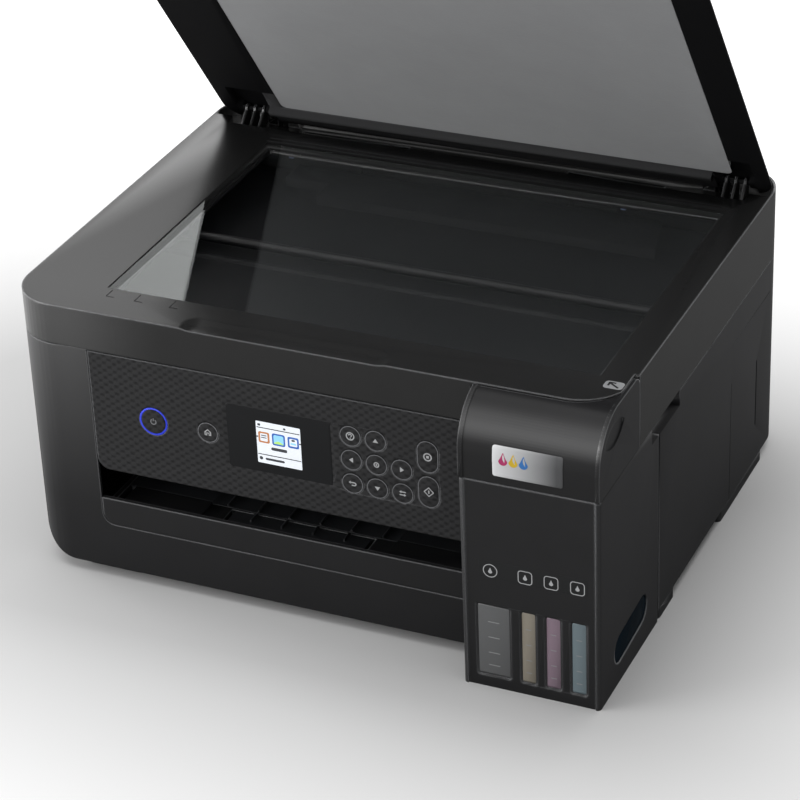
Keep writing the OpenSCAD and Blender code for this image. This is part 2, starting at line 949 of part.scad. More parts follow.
// Shallow hollow for a finger under the lid, with round ends
module finger_dish() {
    x0 = page_x + 4.8 - notch_w / 2 + dish_end;
    x1 = page_x + 4.8 + notch_w / 2 - dish_end;
    y = front_y + 6;
    z = deck_z - dish_d + dish_r;
    rod_x(x0, x1, y, z, dish_r, $fn = 240);
    for (x = [x0, x1])
        translate([x, y, z])
            sphere(dish_r, $fn = 160);
}

// Trough behind the lid hinges, less the bearings of the lift hinge
module trough_cut() {
    difference() {
        along_z(trough_z, unit_h)
            intersection() {
                case_plan(1.5);
                union() {
                    rect([-trough_x, trough_y0], [trough_x, trough_y1]);
                    rect([-half_w, trough_y0 + 9.6], [half_w, trough_y1]);
                }
            }
        for (x = [-ear_x, ear_x]) {
            rod_x(x - ear_w / 2 - 8.5, x + ear_w / 2 + 8.5, lift_y, lift_z, ear_r);
            block([x - ear_w / 2 - 8.5, lift_y - ear_r, 0],
                  [x + ear_w / 2 + 8.5, lift_y, lift_z]);
        }
    }
}

// Fins of one lid hinge
module hinge_fins(x) {
    for (i = [-1:1])
        difference() {
            along_x(x + i * fin_gap - fin_w / 2, x + i * fin_gap + fin_w / 2) {
                translate([hinge_y, hinge_z])
                    circle(lid_pin_r + 1.3);
                polygon([[hinge_y - lid_pin_r - 1.3, hinge_z],
                         [hinge_y - 17, trough_z - 0.2],
                         [hinge_y + lid_pin_r + 1.3, trough_z - 0.2],
                         [hinge_y + lid_pin_r + 1.3, hinge_z]]);
            }
            rod_x(x + i * fin_gap - 2, x + i * fin_gap + 2, hinge_y, hinge_z,
                  lid_pin_r + run);
        }
}

module scanner_frame() {
    color(deck_black)
        seat() {
            difference() {
                intersection() {
                    along_z(side_seam, deck_z)
                        case_plan(0);
                    along_x(-half_w, half_w)
                        lift_side();
                }
                difference() {
                    along_z(0, deck_z - deck_t)
                        case_plan(case_wall);
                    frame_bodies();
                }
                // Lower edge at the front and the left, above the control panel
                along_x(-half_w - 1, inner_w - 1)
                    difference() {
                        rect([0, 0], [grip_y0 + 6, front_seam + seam]);
                        translate([lift_y, lift_z])
                            circle(step_r, $fn = 240);
                    }
                // Room for the tank cover and the filler caps
                block([inner_w - seam, 0, 0], [half_w + 1, cover_d + seam, unit_h]);
                block([tank_x0 - 2, 0, 0], [half_w, glass_y0 - 8, deck_z - deck_t]);
                rod_x(inner_w - 16.5, half_w, cover_pivot[0], cover_pivot[1],
                      cover_pin_r + run);
                // Glass and the opening under it
                block([glass_x0 - 0.2, glass_y0 - 0.2, glass_z0],
                      [glass_x1 + 0.2, glass_y1 + 0.2, unit_h]);
                block([glass_x0 + ledge, glass_y0 + ledge, 0],
                      [glass_x1 - ledge, glass_y1 - ledge, unit_h]);
                finger_dish();
                trough_cut();
                // Two slots in the floor of the trough
                for (part = [[-half_w + 55, -half_w + 130], [half_w - 137, half_w - 73]])
                    block([part[0], hinge_y - 9, trough_z - 4],
                          [part[1], hinge_y + 7, trough_z + 1]);
                // Room for the ears and pins of the lift hinge
                for (x = [-ear_x, ear_x]) {
                    block([x - ear_w / 2 - 0.4, lift_y - ear_r - 0.4, 0],
                          [x + ear_w / 2 + 0.4, case_back, unit_h]);
                    rod_x(x - ear_w / 2 - 7.5, x + ear_w / 2 + 7.5, lift_y, lift_z,
                          pin_r + run);
                }
            }
            for (x = hinge_x)
                hinge_fins(x);
            // Low ridges behind the glass
            for (y = [glass_y1 + 1.9, glass_y1 + 6.4])
                block([glass_x0 - 1, y - 0.4, deck_z - 0.2], [glass_x1 - 4, y + 0.4, deck_z + 0.2]);
        }
}

// Plan of the scanner's lower tray, taken in by inset
module base_plan(inset) {
    difference() {
        intersection() {
            case_plan(case_wall + 0.3 + inset);
            rect([-half_w, front_y], [half_w, base_y1 - inset]);
        }
        rect([tank_x0 - 3 - inset, 0], [half_w, glass_y0 - 7 + inset]);
        rect([inner_w - 19 - inset, 0], [half_w, cover_d + 1 + inset]);
    }
}

module scanner_base() {
    color(inner_grey)
        seat() {
            difference() {
                along_z(base_z, min(ledge_z - 0.4, deck_z - 6.8))
                    base_plan(0);
                along_z(base_z + base_t, unit_h)
                    base_plan(2.2);
                // Windows of the home sensors in the rear wall
                for (x = [glass_x0 + 58, glass_x1 - 105])
                    block([x, base_y1 - 3, base_z + 5], [x + 32, base_y1 + 1, base_z + 13]);
            }
            // Round bead in front of the rod
            intersection() {
                rod_x(-half_w + 12, glass_x1 - 2, rod_y - 11, base_z + base_t - 1.4, 3.4);
                block([-half_w, 0, base_z + base_t - 0.2], [half_w, case_back, unit_h]);
            }
            // Raised part under the rear of the glass
            along_z(base_z + base_t - 0.2, base_high) {
                polygon([[glass_x0 + 47, glass_y1 - 29], [glass_x1 - 33.5, glass_y1 - 29],
                         [glass_x1 - 42.5, glass_y1 + 9], [glass_x0 + 47, glass_y1 + 9]]);
                rect([glass_x0 + 17, glass_y1 - 11], [glass_x0 + 48, glass_y1 + 9]);
            }
            // Blocks that hold the rod
            for (x = [-inner_w + 2.6, inner_w - 7.6])
                difference() {
                    block([x, rod_y - 6, base_z + base_t - 0.2], [x + 5, rod_y + 6, rod_z + 5]);
                    rod_x(x - 1, x + 6, rod_y, rod_z, rod_r + 0.02);
                }
        }
}

module scan_glass() {
    color(clear_blue, 0.35)
        seat()
            block([glass_x0, glass_y0, glass_z0], [glass_x1, glass_y1, glass_z1]);
}

module scan_rail() {
    color(steel)
        seat()
            rod_x(-inner_w + 2.7, inner_w - 2.7, rod_y, rod_z, rod_r);
}

module scan_head() {
    head_x = glass_x0 - 34;
    color(trim_black)
        seat()
            difference() {
                union() {
                    block([head_x, glass_y0 - 3.5, base_z + base_t + 3],
                          [head_x + 18, glass_y1 + 4, ledge_z - 0.8]);
                    block([head_x - 3, rod_y - 14, base_z + base_t + 2.6],
                          [head_x + 24, rod_y + 14, ledge_z - 2]);
                }
                rod_x(head_x - 4, head_x + 25, rod_y, rod_z, rod_r + run);
                // Step that passes over the raised part of the tray
                block([head_x - 1, glass_y1 - 33, 0],
                      [head_x + 19, glass_y1 + 5, base_high + 0.8]);
                // Channel of the lens array
                block([head_x + 4, glass_y0, ledge_z - 2.3],
                      [head_x + 14, glass_y1, ledge_z]);
            }
}

// ---------------------------------------------------------------- lid

// The lid is drawn closed and then stood open about its hinge
module lid_pose() {
    seat()
        turn_x(-lid_open, hinge_y, hinge_z)
            children();
}

// Plan of the lid, with large corners in front and small ones behind
module lid_plan(inset) {
    x = lid_x - inset;
    front_r = corner_r - 2;
    rear_r = 15;
    rect([-x, lid_y0 + front_r], [x, lid_y1 - rear_r]);
    rect([-x + front_r, lid_y0 + inset], [x - front_r, lid_y0 + front_r + 1]);
    rect([-x + rear_r, lid_y1 - rear_r - 1], [x - rear_r, lid_y1 - inset]);
    for (side = [-1, 1]) {
        translate([side * (x - front_r + inset), lid_y0 + front_r])
            circle(front_r - inset);
        translate([side * (x - rear_r + inset), lid_y1 - rear_r])
            circle(rear_r - inset);
    }
}

// Distance that the sloping front and sides of the lid stand in, at height z
function lid_in(z) = lid_slope * (z - lid_z0 - lid_rim) / (unit_h - lid_z0 - lid_rim);

// Outside of the lid, with its front and sides sloping in towards the outer skin
module lid_body() {
    low = lid_z0 - 1;
    high = unit_h + 1;
    intersection() {
        along_z(lid_z0, unit_h)
            lid_plan(0);
        along_y(lid_y0 - 1, lid_y1 + 1)
            polygon([[-lid_x + lid_in(low), low], [lid_x - lid_in(low), low],
                     [lid_x - lid_in(high), high], [-lid_x + lid_in(high), high]]);
        along_x(-lid_x - 1, lid_x + 1)
            polygon([[lid_y0 + lid_in(low), low], [lid_y1 + 1, low],
                     [lid_y1 + 1, high], [lid_y0 + lid_in(high), high]]);
    }
}

module lid_shell() {
    color(trim_black)
        lid_pose() {
            difference() {
                lid_body();
                // Seat of the pad
                block([pad_x0 - 0.3, lid_y0 + 16, lid_z0 - 1],
                      [pad_x1 + 0.3, pad_y1 + 0.3, unit_h - lid_skin]);
                // Pockets over the two hinges, open to the rear
                for (x = hinge_x)
                    block([x - 13, hinge_y - 27, lid_z0 - 1],
                          [x + 13, lid_y1 + 1, unit_h - lid_skin]);
            }
            // Lip behind the pad
            block([hinge_x[0] + 13.5, lip_y0, lid_z0 - lip_h],
                  [hinge_x[1] - 13.5, lip_y1, lid_z0 + 1]);
            // Cheeks and pins of the hinges
            for (x = hinge_x) {
                rod_x(x - 11, x + 11, hinge_y, hinge_z, lid_pin_r);
                for (side = [-1, 1])
                    block([x + side * 10.75 - 2.25, hinge_y - 4, lid_z0],
                          [x + side * 10.75 + 2.25, hinge_y + 4, unit_h - lid_skin + 0.2]);
            }
        }
}

module lid_pad() {
    color(pad_grey)
        lid_pose()
            block([pad_x0, lid_y0 + 16.3, lid_z0 - 0.2], [pad_x1, pad_y1, unit_h - lid_skin]);
}

// ---------------------------------------------------------------- trays

module output_tray() {
    color(inner_grey)
        seat() {
            difference() {
                block([tray_x0, tray_y0, tray_top - stage_t],
                      [tray_x1, tray_y1, tray_top]);
                // Dip in the middle
                block([page_x - dip_w, front_y, tray_top - tray_sink],
                      [page_x + dip_w, tray_y1 - 20, unit_h]);
            }
            for (side = [-1, 1]) {
                edge = side * (tray_x1 - tray_x0) / 2 + page_x;
                block([min(edge, edge - side * 3), tray_y0, rail_z + 0.3],
                      [max(edge, edge - side * 3), tray_y1, tray_top]);
                // Lip that the second stage slides on
                block([min(edge, edge - side * 9), tray_y0, ext_top - stage_t - 2.3],
                      [max(edge, edge - side * 9), tray_y1, ext_top - stage_t - 0.3]);
            }
            // Ribs in the dip, level with the tray
            for (i = [-3:2])
                block([page_x + (i + 0.5) * rib_pitch - 0.6, tray_y0 + 0.2,
                       tray_top - tray_sink - 0.2],
                      [page_x + (i + 0.5) * rib_pitch + 0.6, tray_y1 - 19.8, tray_top]);
        }
}

module tray_extension() {
    color(case_black)
        seat() {
            // Front plate
            along_y(front_y, front_y + 3)
                left_foot_rect([panel_x0, tray_z0], [panel_x1, face_top], panel_r);
            difference() {
                union() {
                    // Plate that slides under the tray
                    block([tray_x0 + 4, front_y + 2.8, ext_top - stage_t],
                          [tray_x1 - 4, tray_y1 - 8, ext_top]);
                    // Raised front part, level with the tray
                    block([tray_x0 + 4, front_y + 2.8, ext_top - 0.2],
                          [tray_x1 - 4, tray_y0 - 0.6, tray_top]);
                }
                // Dip, and the opening that holds the stopper
                block([page_x - dip_w, front_y + 5.4, tray_top - tray_sink],
                      [page_x + dip_w, tray_y0, unit_h]);
                block([page_x - 46.4, front_y + 3.8, 0],
                      [page_x + 46.4, stop_y + stop_l + 0.6, unit_h]);
            }
            for (side = [-1, 1])
                stopper_ear(page_x + side * 45.6);
        }
}

stop_pin_r = 1.2;
stop_z = tray_top - tray_sink - 1.4;

// Ear that holds one end of the stopper's pin
module stopper_ear(x) {
    difference() {
        block([x - 0.9, front_y + 3.7, stop_z - 2.6], [x + 0.9, stop_y + 3, stop_z + 1.4]);
        rod_x(x - 2, x + 2, stop_y, stop_z, stop_pin_r + run);
    }
}

module tray_stopper() {
    color(inner_grey)
        seat() {
            rod_x(page_x - 46.2, page_x + 46.2, stop_y, stop_z, stop_pin_r);
            block([page_x - 44, stop_y, stop_z - 1.2],
                  [page_x + 44, stop_y + stop_l, stop_z + 1.2]);
            for (i = [-2:1])
                block([page_x + (i + 0.5) * rib_pitch - 0.6, front_y + 15.3, stop_z + 1],
                      [page_x + (i + 0.5) * rib_pitch + 0.6, stop_y + stop_l, tray_top - 0.2]);
        }
}

// ---------------------------------------------------------------- rear feeder

module rear_cover() {
    x0 = feeder_x0 + case_wall;
    x1 = feeder_x1 - case_wall;
    color(case_black)
        seat() {
            difference() {
                along_x(feeder_x0, feeder_x1)
                    polygon([[case_back + 0.1, 24], [unit_d, 46], [unit_d, deck_z],
                             [case_back + 0.1, deck_z]]);
                along_x(x0, x1)
                    polygon([[case_back - 1, 29], [chute_y1, 50], [chute_y1, unit_h],
                             [case_back - 1, unit_h]]);
            }
            // Rails and stop of the paper support
            for (side = [-1, 1]) {
                block([page_x + side * (support_w / 2 + 1.3) - 1, support_y - 1.8, 60],
                      [page_x + side * (support_w / 2 + 1.3) + 1, chute_y1 + 0.1, deck_z - 4]);
                block([page_x + side * (support_w / 2 - 0.7) - 3, support_y - 1.8, 60],
                      [page_x + side * (support_w / 2 - 0.7) + 3, support_y - 0.3, deck_z - 4]);
            }
            block([page_x - 20, support_y, support_z - 3],
                  [page_x + 20, chute_y1 + 0.1, support_z - 0.3]);
            // Ledges that carry the edge guides
            for (x = [[x0 - 0.1, page_x - support_w / 2 - 3],
                      [page_x + support_w / 2 + 3, x1 + 0.1]])
                block([x[0], chute_y0 + 6.5, guide_z - 3.3], [x[1], chute_y1 + 0.1, guide_z - 0.3]);
        }
}

module paper_support() {
    color(trim_black)
        seat() {
            block([page_x - support_w / 2, support_y, support_z],
                  [page_x + support_w / 2, support_y + support_t, deck_z - 0.5]);
            // Lip that a finger pulls up
            block([page_x - 22, support_y - 2.2, deck_z - 3],
                  [page_x + 22, support_y + 0.2, deck_z - 0.5]);
        }
}

// Edge guide at one side: -1 for the left, 1 for the right
module edge_guide(side) {
    x = page_x + side * (page_w / 2 + guide_w / 2 + 0.3);
    color(inner_grey)
        seat() {
            block([x - guide_w / 2, chute_y0 + 1, guide_z],
                  [x + guide_w / 2, chute_y1 - 0.4, deck_z - 3]);
            block([min(x, x - side * 6), chute_y0 + 6.8, guide_z],
                  [max(x, x - side * 6), chute_y1 - 0.4, guide_z + 2.5]);
        }
}

module left_guide() {
    edge_guide(-1);
}

module right_guide() {
    edge_guide(1);
}

module feed_frame() {
    wall_y = case_back - case_wall;
    color(inner_grey)
        seat() {
            // Flat way to the feed roller
            along_x(feeder_x0, feeder_x1)
                polygon([[feed_y + 12, page_z - 3], [ramp_y0 + 1, page_z], [ramp_y0, ramp_z0],
                         [feed_y + 12, page_z - 0.5]]);
            // Ramp that leads the pages down, inside the case and through the back
            for (part = [[feeder_x0, feeder_x1, 0], [feeder_x0 + 6.5, feeder_x1 - 6.5, 1]])
                intersection() {
                    along_x(part[0], part[1])
                        translate([ramp_y0, ramp_z0])
                            rotate(ramp_angle)
                                translate([-1, -2.5])
                                    square([ramp_l, 2.5]);
                    block([-half_w, 0, 0],
                          [half_w, part[2] == 0 ? wall_y : support_y - 2.2, unit_h]);
                }
            for (x = [feeder_x0 - 2.5, feeder_x1])
                difference() {
                    block([x, feed_y + 46, page_z - 3], [x + 2.5, wall_y, pick_z + 10]);
                    rod_x(x - 1, x + 4, pick_y, pick_z, shaft_r + run);
                }
        }
}

module pickup_roller() {
    color("#46484a")
        seat() {
            rod_x(feeder_x0 - 5, feeder_x1 + 5, pick_y, pick_z, shaft_r);
            for (x = [page_x - 30, page_x + 30])
                along_x(x - 10, x + 10)
                    translate([pick_y, pick_z])
                        rotate(ramp_angle)
                            difference() {
                                circle(pick_r);
                                // The flat that lets the page pass
                                translate([-pick_r - 1, -pick_r - 1])
                                    square([2 * pick_r + 2, 9]);
                            }
        }
}

// ---------------------------------------------------------------- gears

// Point of an involute of the base radius, at the roll angle t, turned by a
function involute(base, t, a) = [
    base * (cos(t + a) + t * PI / 180 * sin(t + a)),
    base * (sin(t + a) - t * PI / 180 * cos(t + a))
];

// Roll angle at which the involute of the base radius reaches the radius r
function roll(base, r) = sqrt(max(0, pow(r / base, 2) - 1)) * 180 / PI;

// Polar angle of the involute at the radius r
function flare(base, r) = roll(base, r) - acos(min(1, base / r));

// Spur gear in the plane, its first tooth centred on the first axis
module spur(teeth) {
    pitch = tooth_m * teeth / 2;
    base = pitch * cos(20);
    tip = pitch + 0.95 * tooth_m;
    root = pitch - 1.2 * tooth_m;
    half = 90 / teeth - 2.2 / teeth + flare(base, pitch);
    steps = 4;
    r0 = max(base, root);
    t0 = roll(base, r0);
    t1 = roll(base, tip);
    points = [
        for (i = [0:teeth - 1])
            let (a = i * 360 / teeth)
                each concat(
                    [[root * cos(a - 150 / teeth), root * sin(a - 150 / teeth)],
                     [root * cos(a - half), root * sin(a - half)]],
                    [for (k = [0:steps]) involute(base, t0 + (t1 - t0) * k / steps, a - half)],
                    [for (k = [steps:-1:0])
                        let (p = involute(base, t0 + (t1 - t0) * k / steps, -half))
                            [p[0] * cos(a) + p[1] * sin(a), p[0] * sin(a) - p[1] * cos(a)]],
                    [[root * cos(a + half), root * sin(a + half)],
                     [root * cos(a + 150 / teeth), root * sin(a + 150 / teeth)]]
                )
    ];
    polygon(points);
}

// Phase of a gear that meshes with a gear of teeth_a, turned by phase_a, seen at angle
function mesh(angle, phase_a, teeth_a, teeth_b) =
    angle + 180 + ((angle - phase_a) * teeth_a - 180) / teeth_b;

idler_phase = mesh(180, 0, feed_teeth, idler_teeth);
eject_phase = mesh(180, idler_phase, idler_teeth, feed_teeth);
pinion_phase = mesh(pinion_angle, 0, feed_teeth, pinion_teeth);

// A gear of the train, beside the frame's left plate
module gear(y, z, teeth, phase) {
    along_x(gear_x0, gear_x1)
        translate([y, z])
            rotate(phase)
                spur(teeth);
}

// A coated roller on a shaft that runs in both plates of the frame
module page_roller(y, phase) {
    color(steel)
        seat() {
            rod_x(page_x - page_w / 2, page_x + page_w / 2, y, feed_z, roller_r);
            rod_x(gear_x0 - 1, frame_x1 + 4, y, feed_z, shaft_r);
            gear(y, feed_z, feed_teeth, phase);
        }
}

module feed_roller() {
    page_roller(feed_y, 0);
}

module eject_roller() {
    page_roller(eject_y, eject_phase);
}

module idler_gear() {
    color("#e6e4dc")
        seat()
            difference() {
                gear(idler_y, feed_z, idler_teeth, idler_phase);
                rod_x(gear_x0 - 1, gear_x1 + 1, idler_y, feed_z, 3 + run);
            }
}

module motor_pinion() {
    color("#c9a24a")
        seat()
            difference() {
                gear(pinion_y, pinion_z, pinion_teeth, pinion_phase);
                rod_x(gear_x0 - 1, gear_x1 + 1, pinion_y, pinion_z, motor_shaft_r + run);
            }
}

// ---------------------------------------------------------------- print mechanism

// Side view of the frame's end plates
module plate_side() {
    rect([eject_y - 12, floor_top], [rail_y1, rail_low]);
    rect([rail_y0 + 2, rail_low - 1], [rail_y1, rail_high]);
}

module carriage_rail() {
    color(steel)
        seat() {
            difference() {
                union() {
                    along_x(frame_x0 - plate_t, frame_x0)
                        plate_side();
                    along_x(frame_x1, frame_x1 + plate_t)
                        plate_side();
                }
                for (y = [feed_y, eject_y])
                    rod_x(frame_x0 - 4, frame_x1 + 4, y, feed_z, shaft_r + run);
                rod_x(frame_x0 - 4, frame_x0 + 1, pinion_y, pinion_z, motor_shaft_r + 1.5);
            }
            // Rail with two flanges, bent from sheet
            block([frame_x0 - 0.1, rail_y1 - 1.5, rail_low], [frame_x1 + 0.1, rail_y1, rail_high]);
            block([frame_x0 - 0.1, rail_y0, rail_low], [frame_x1 + 0.1, rail_y1, rail_low + 1.5]);
            block([frame_x0 - 0.1, rail_y0, rail_high - 1.5],
                  [frame_x1 - 32, rail_y1, rail_high]);
            // Axle of the idler gear
            rod_x(gear_x0 - 1, frame_x0 - 1, idler_y, feed_z, 3);
            // Posts of the two belt pulleys
            for (x = belt_x)
                translate([x, belt_y, rail_low])
                    cylinder(h = belt_z - rail_low - 0.3, r = 3);
        }
}

// Plan of the belt's loop, taken in by inset
module belt_loop(inset) {
    r = belt_r - inset;
    for (x = belt_x)
        translate([x, belt_y])
            circle(r);
    rect([belt_x[0], belt_y - r], [belt_x[1], belt_y + r]);
}

module carriage_belt() {
    color("#1b1b1b")
        seat() {
            difference() {
                along_z(belt_z, belt_z + belt_w)
                    belt_loop(0);
                along_z(belt_z - 1, belt_z + belt_w + 1)
                    belt_loop(1.2);
            }
            for (x = belt_x)
                translate([x, belt_y, belt_z - 0.3])
                    cylinder(h = belt_w + 0.6, r = belt_r - 1.2);
        }
}

module drive_motors() {
    color(steel)
        seat() {
            // Feed motor, inside the left plate, with its shaft through the plate
            rod_x(frame_x0, frame_x0 + motor_l, pinion_y, pinion_z, motor_r);
            rod_x(gear_x0 - 1, frame_x0 + 1, pinion_y, pinion_z, motor_shaft_r);
            // Carriage motor, over the right end of the rail
            translate([belt_x[1], belt_y, belt_z + belt_w + 4])
                cylinder(h = motor_l - 2, r = small_motor_r);
            translate([belt_x[1], belt_y, belt_z + belt_w + 0.4])
                cylinder(h = 5, r = motor_shaft_r);
        }
}

module print_carriage() {
    x1 = carriage_x + carriage_w;
    color(trim_black)
        seat() {
            difference() {
                block([carriage_x, carriage_y0, head_z + 6], [x1, carriage_y1, rail_high + 4]);
                block([carriage_x + 3, carriage_y0 + 3, head_z + 14],
                      [x1 - 3, carriage_y1 - 4, rail_high + 5]);
            }
            // Hook over the rail's upper flange
            block([carriage_x + 10, carriage_y1 - 0.1, rail_high + 0.4],
                  [carriage_x + 44, rail_y0 + 7, rail_high + 4]);
            // Clamp on the front run of the belt
            block([carriage_x + 14, carriage_y1 - 0.1, belt_z - 2],
                  [carriage_x + 30, belt_y - belt_r - 0.3, belt_z + belt_w + 2]);
        }
}

module print_head() {
    color("#6b6d70")
        seat() {
            block([carriage_x + 20, carriage_y0 + 10, head_z],
                  [carriage_x + 68, carriage_y1 - 14, head_z + 6]);
            for (i = [0:3])
                block([carriage_x + 22 + i * 11.5, carriage_y0 + 12, head_z + 14],
                      [carriage_x + 31 + i * 11.5, carriage_y1 - 16, rail_high - 6]);
        }
}

module platen() {
    y0 = eject_y + roller_r + 3;
    y1 = feed_y - roller_r - 3;
    x0 = page_x - page_w / 2 - 6;
    x1 = page_x + page_w / 2 + 6;
    color(trim_black)
        seat() {
            block([x0, y0, page_z - 6], [x1, y1, page_z - 3]);
            for (y = [y0, y1 - 3])
                block([x0, y, floor_top], [x1, y + 3, page_z - 4]);
            // Ribs under the page
            for (i = [-7:7])
                block([page_x + i * 14 - 0.8, y0, page_z - 3.2],
                      [page_x + i * 14 + 0.8, y1, page_z - 0.4]);
        }
}

module capping_station() {
    y0 = eject_y + roller_r + 3;
    y1 = feed_y - roller_r - 3;
    x0 = page_x + page_w / 2 + 7.8;
    x1 = carriage_x + 74;
    color(inner_grey)
        seat()
            difference() {
                union() {
                    block([x0, y0, floor_top], [x1, y1, page_z - 6]);
                    block([x0 + 4, y0 + 2, page_z - 7], [x1 - 4, y1 - 2, head_z - 0.6]);
                }
                block([x0 + 6, y0 + 4, head_z - 3.4], [x1 - 6, y1 - 4, head_z + 1]);
            }
}

// ---------------------------------------------------------------- electrics

board_x0 = -half_w + belly_r + 7.5;
board_x1 = 60;
board_y0 = feed_y + 34;
board_y1 = case_back - 12;
board_z = floor_top + 6;
usb_x = board_x0 + 2;
usb_w = 12;
usb_h = 11;
usb_z = board_z + 1.6;
inlet_x = half_w - 52.5;
inlet_w = 24;
inlet_h = 17;
inlet_z = 30;

module main_board() {
    color("#1f5a3a")
        seat() {
            block([board_x0, board_y0, board_z], [board_x1, board_y1, board_z + 1.6]);
            difference() {
                block([usb_x, board_y1 - 6, usb_z - 0.1],
                      [usb_x + usb_w, case_back - 0.5, usb_z + usb_h]);
                block([usb_x + 1.7, case_back - 10, usb_z + 1.6],
                      [usb_x + usb_w - 1.7, case_back, usb_z + usb_h - 1.6]);
            }
            block([usb_x + 3.2, case_back - 10.1, usb_z + 3.9],
                  [usb_x + usb_w - 3.2, case_back - 2, usb_z + usb_h - 3.9]);
            for (x = [-110, -60, -20])
                block([x, board_y0 + 12, board_z + 1.5], [x + 22, board_y0 + 32, board_z + 5]);
        }
}

module power_supply() {
    color(inner_grey)
        seat()
            block([inlet_x - 30, rail_y1 + 6, floor_top], [inlet_x + 32, case_back - 14, 68]);
}

module ac_inlet() {
    x0 = inlet_x - inlet_w / 2;
    x1 = inlet_x + inlet_w / 2;
    color(trim_black)
        seat()
            difference() {
                block([x0, case_back - 13.7, inlet_z], [x1, case_back - 0.2, inlet_z + inlet_h]);
                // Socket with two pins
                along_y(case_back - 11, case_back + 1)
                    soft_rect([x0 + 2.5, inlet_z + 3], [x1 - 2.5, inlet_z + inlet_h - 3], 4);
            }
    color(steel)
        seat()
            for (side = [-1, 1])
                rod_y(inlet_x + side * 4.3, case_back - 11.2, case_back - 3,
                      inlet_z + inlet_h / 2, 1.2);
}

// ---------------------------------------------------------------- nodes

lower_case();
main_housing();
control_panel();
display_lens();
display();
power_ring();
tank_housing();
side_window();
black_tank();
yellow_tank();
magenta_tank();
cyan_tank();
ink_tubes();
platen();
rear_cover();
feed_frame();
power_supply();
main_board();
ac_inlet();
carriage_rail();
carriage_belt();
drive_motors();
capping_station();
scanner_frame();
scanner_base();
scan_glass();
scan_rail();
scan_head();
lid_shell();
lid_pad();
tank_cover();
black_cap();
yellow_cap();
magenta_cap();
cyan_cap();
print_carriage();
print_head();
feed_roller();
idler_gear();
eject_roller();
motor_pinion();
pickup_roller();
output_tray();
tray_extension();
tray_stopper();
paper_support();
left_guide();
right_guide();
power_key();
home_key();
help_key();
up_key();
left_key();
ok_key();
right_key();
back_key();
down_key();
swap_key();
stop_key();
start_key();
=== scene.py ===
"""Looks of a home inkjet printer with four refillable ink tanks and its scanner lid raised.

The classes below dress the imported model: each sub-assembly is one class whose fields are sizes in
millimetres, and each finish is a frozen dataclass that builds one procedural material. Meshes are
in metres, in the printer's own frame: X to the right, Y from front to back, Z up from the table.
"""

import json
import logging
import math
from dataclasses import dataclass, field
from enum import Enum
from typing import Callable, Sequence

import bmesh
import bpy
import numpy as np
from mathutils import Matrix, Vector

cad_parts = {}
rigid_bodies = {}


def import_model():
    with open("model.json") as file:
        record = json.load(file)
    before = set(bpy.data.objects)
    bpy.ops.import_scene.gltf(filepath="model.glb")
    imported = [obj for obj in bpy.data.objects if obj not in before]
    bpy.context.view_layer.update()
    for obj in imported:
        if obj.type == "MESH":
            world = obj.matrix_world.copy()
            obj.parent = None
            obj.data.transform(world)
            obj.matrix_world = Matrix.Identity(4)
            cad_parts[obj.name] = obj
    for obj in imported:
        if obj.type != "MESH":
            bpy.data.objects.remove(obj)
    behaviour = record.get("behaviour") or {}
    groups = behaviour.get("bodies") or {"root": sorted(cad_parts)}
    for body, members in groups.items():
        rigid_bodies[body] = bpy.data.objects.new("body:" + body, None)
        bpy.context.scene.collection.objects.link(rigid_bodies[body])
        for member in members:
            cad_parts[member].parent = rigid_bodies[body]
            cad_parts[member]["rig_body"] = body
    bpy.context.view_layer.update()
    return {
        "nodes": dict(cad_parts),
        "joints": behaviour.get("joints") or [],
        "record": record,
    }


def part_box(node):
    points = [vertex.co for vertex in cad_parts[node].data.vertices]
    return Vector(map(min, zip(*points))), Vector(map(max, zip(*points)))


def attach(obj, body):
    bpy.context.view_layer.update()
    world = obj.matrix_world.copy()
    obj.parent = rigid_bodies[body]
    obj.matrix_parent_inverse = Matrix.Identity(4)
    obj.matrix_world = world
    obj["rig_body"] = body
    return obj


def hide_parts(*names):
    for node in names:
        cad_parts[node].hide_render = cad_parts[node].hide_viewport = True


MM = 0.001
WHITE = (1.0, 1.0, 1.0, 1.0)
# Painted shade on a broken edge that faces down, and a painted highlight on the other broken edges
EDGE_SHADE = (0.001, 0.001, 0.001, 1.0)
EDGE_HIGHLIGHT = "#8a8b8d"
# Cosine of an edge's turn from its face where the painted edge light begins and is complete, and the upward
# part of its direction between which the painted shade gives way to the painted highlight
EDGE_TURN = (0.995, 0.85)
SHADED_EDGE_Z = (-0.30, -0.05)
# Range in which nearly all values of soft noise lie
CLOUD = (0.3, 0.7)
# Width of the patches in which a colour wanders, and of those that are handled more
PATCH_MM = 26.0
HANDLED_MM = 40.0
HANDLED_SHARE = 0.03

Tree = bpy.types.NodeTree
Node = bpy.types.Node
Socket = bpy.types.NodeSocket
Pair = tuple[float, float]
Colour = tuple[float, float, float, float]
Placing = Callable[[np.ndarray], np.ndarray]
log = logging.getLogger("printer")


# ------------------------------------------------------------------ colour and nodes


def linear(code: str) -> Colour:
    """Turns a colour as it is written into linear light.

    Args:
        code: sRGB colour, such as "#1d1e20".

    Returns:
        Red, green, blue and an alpha of 1.
    """
    level = np.array([int(code[i : i + 2], 16) for i in (1, 3, 5)]) / 255
    light = np.where(level <= 0.04045, level / 12.92, ((level + 0.055) / 1.055) ** 2.4)
    return (float(light[0]), float(light[1]), float(light[2]), 1.0)


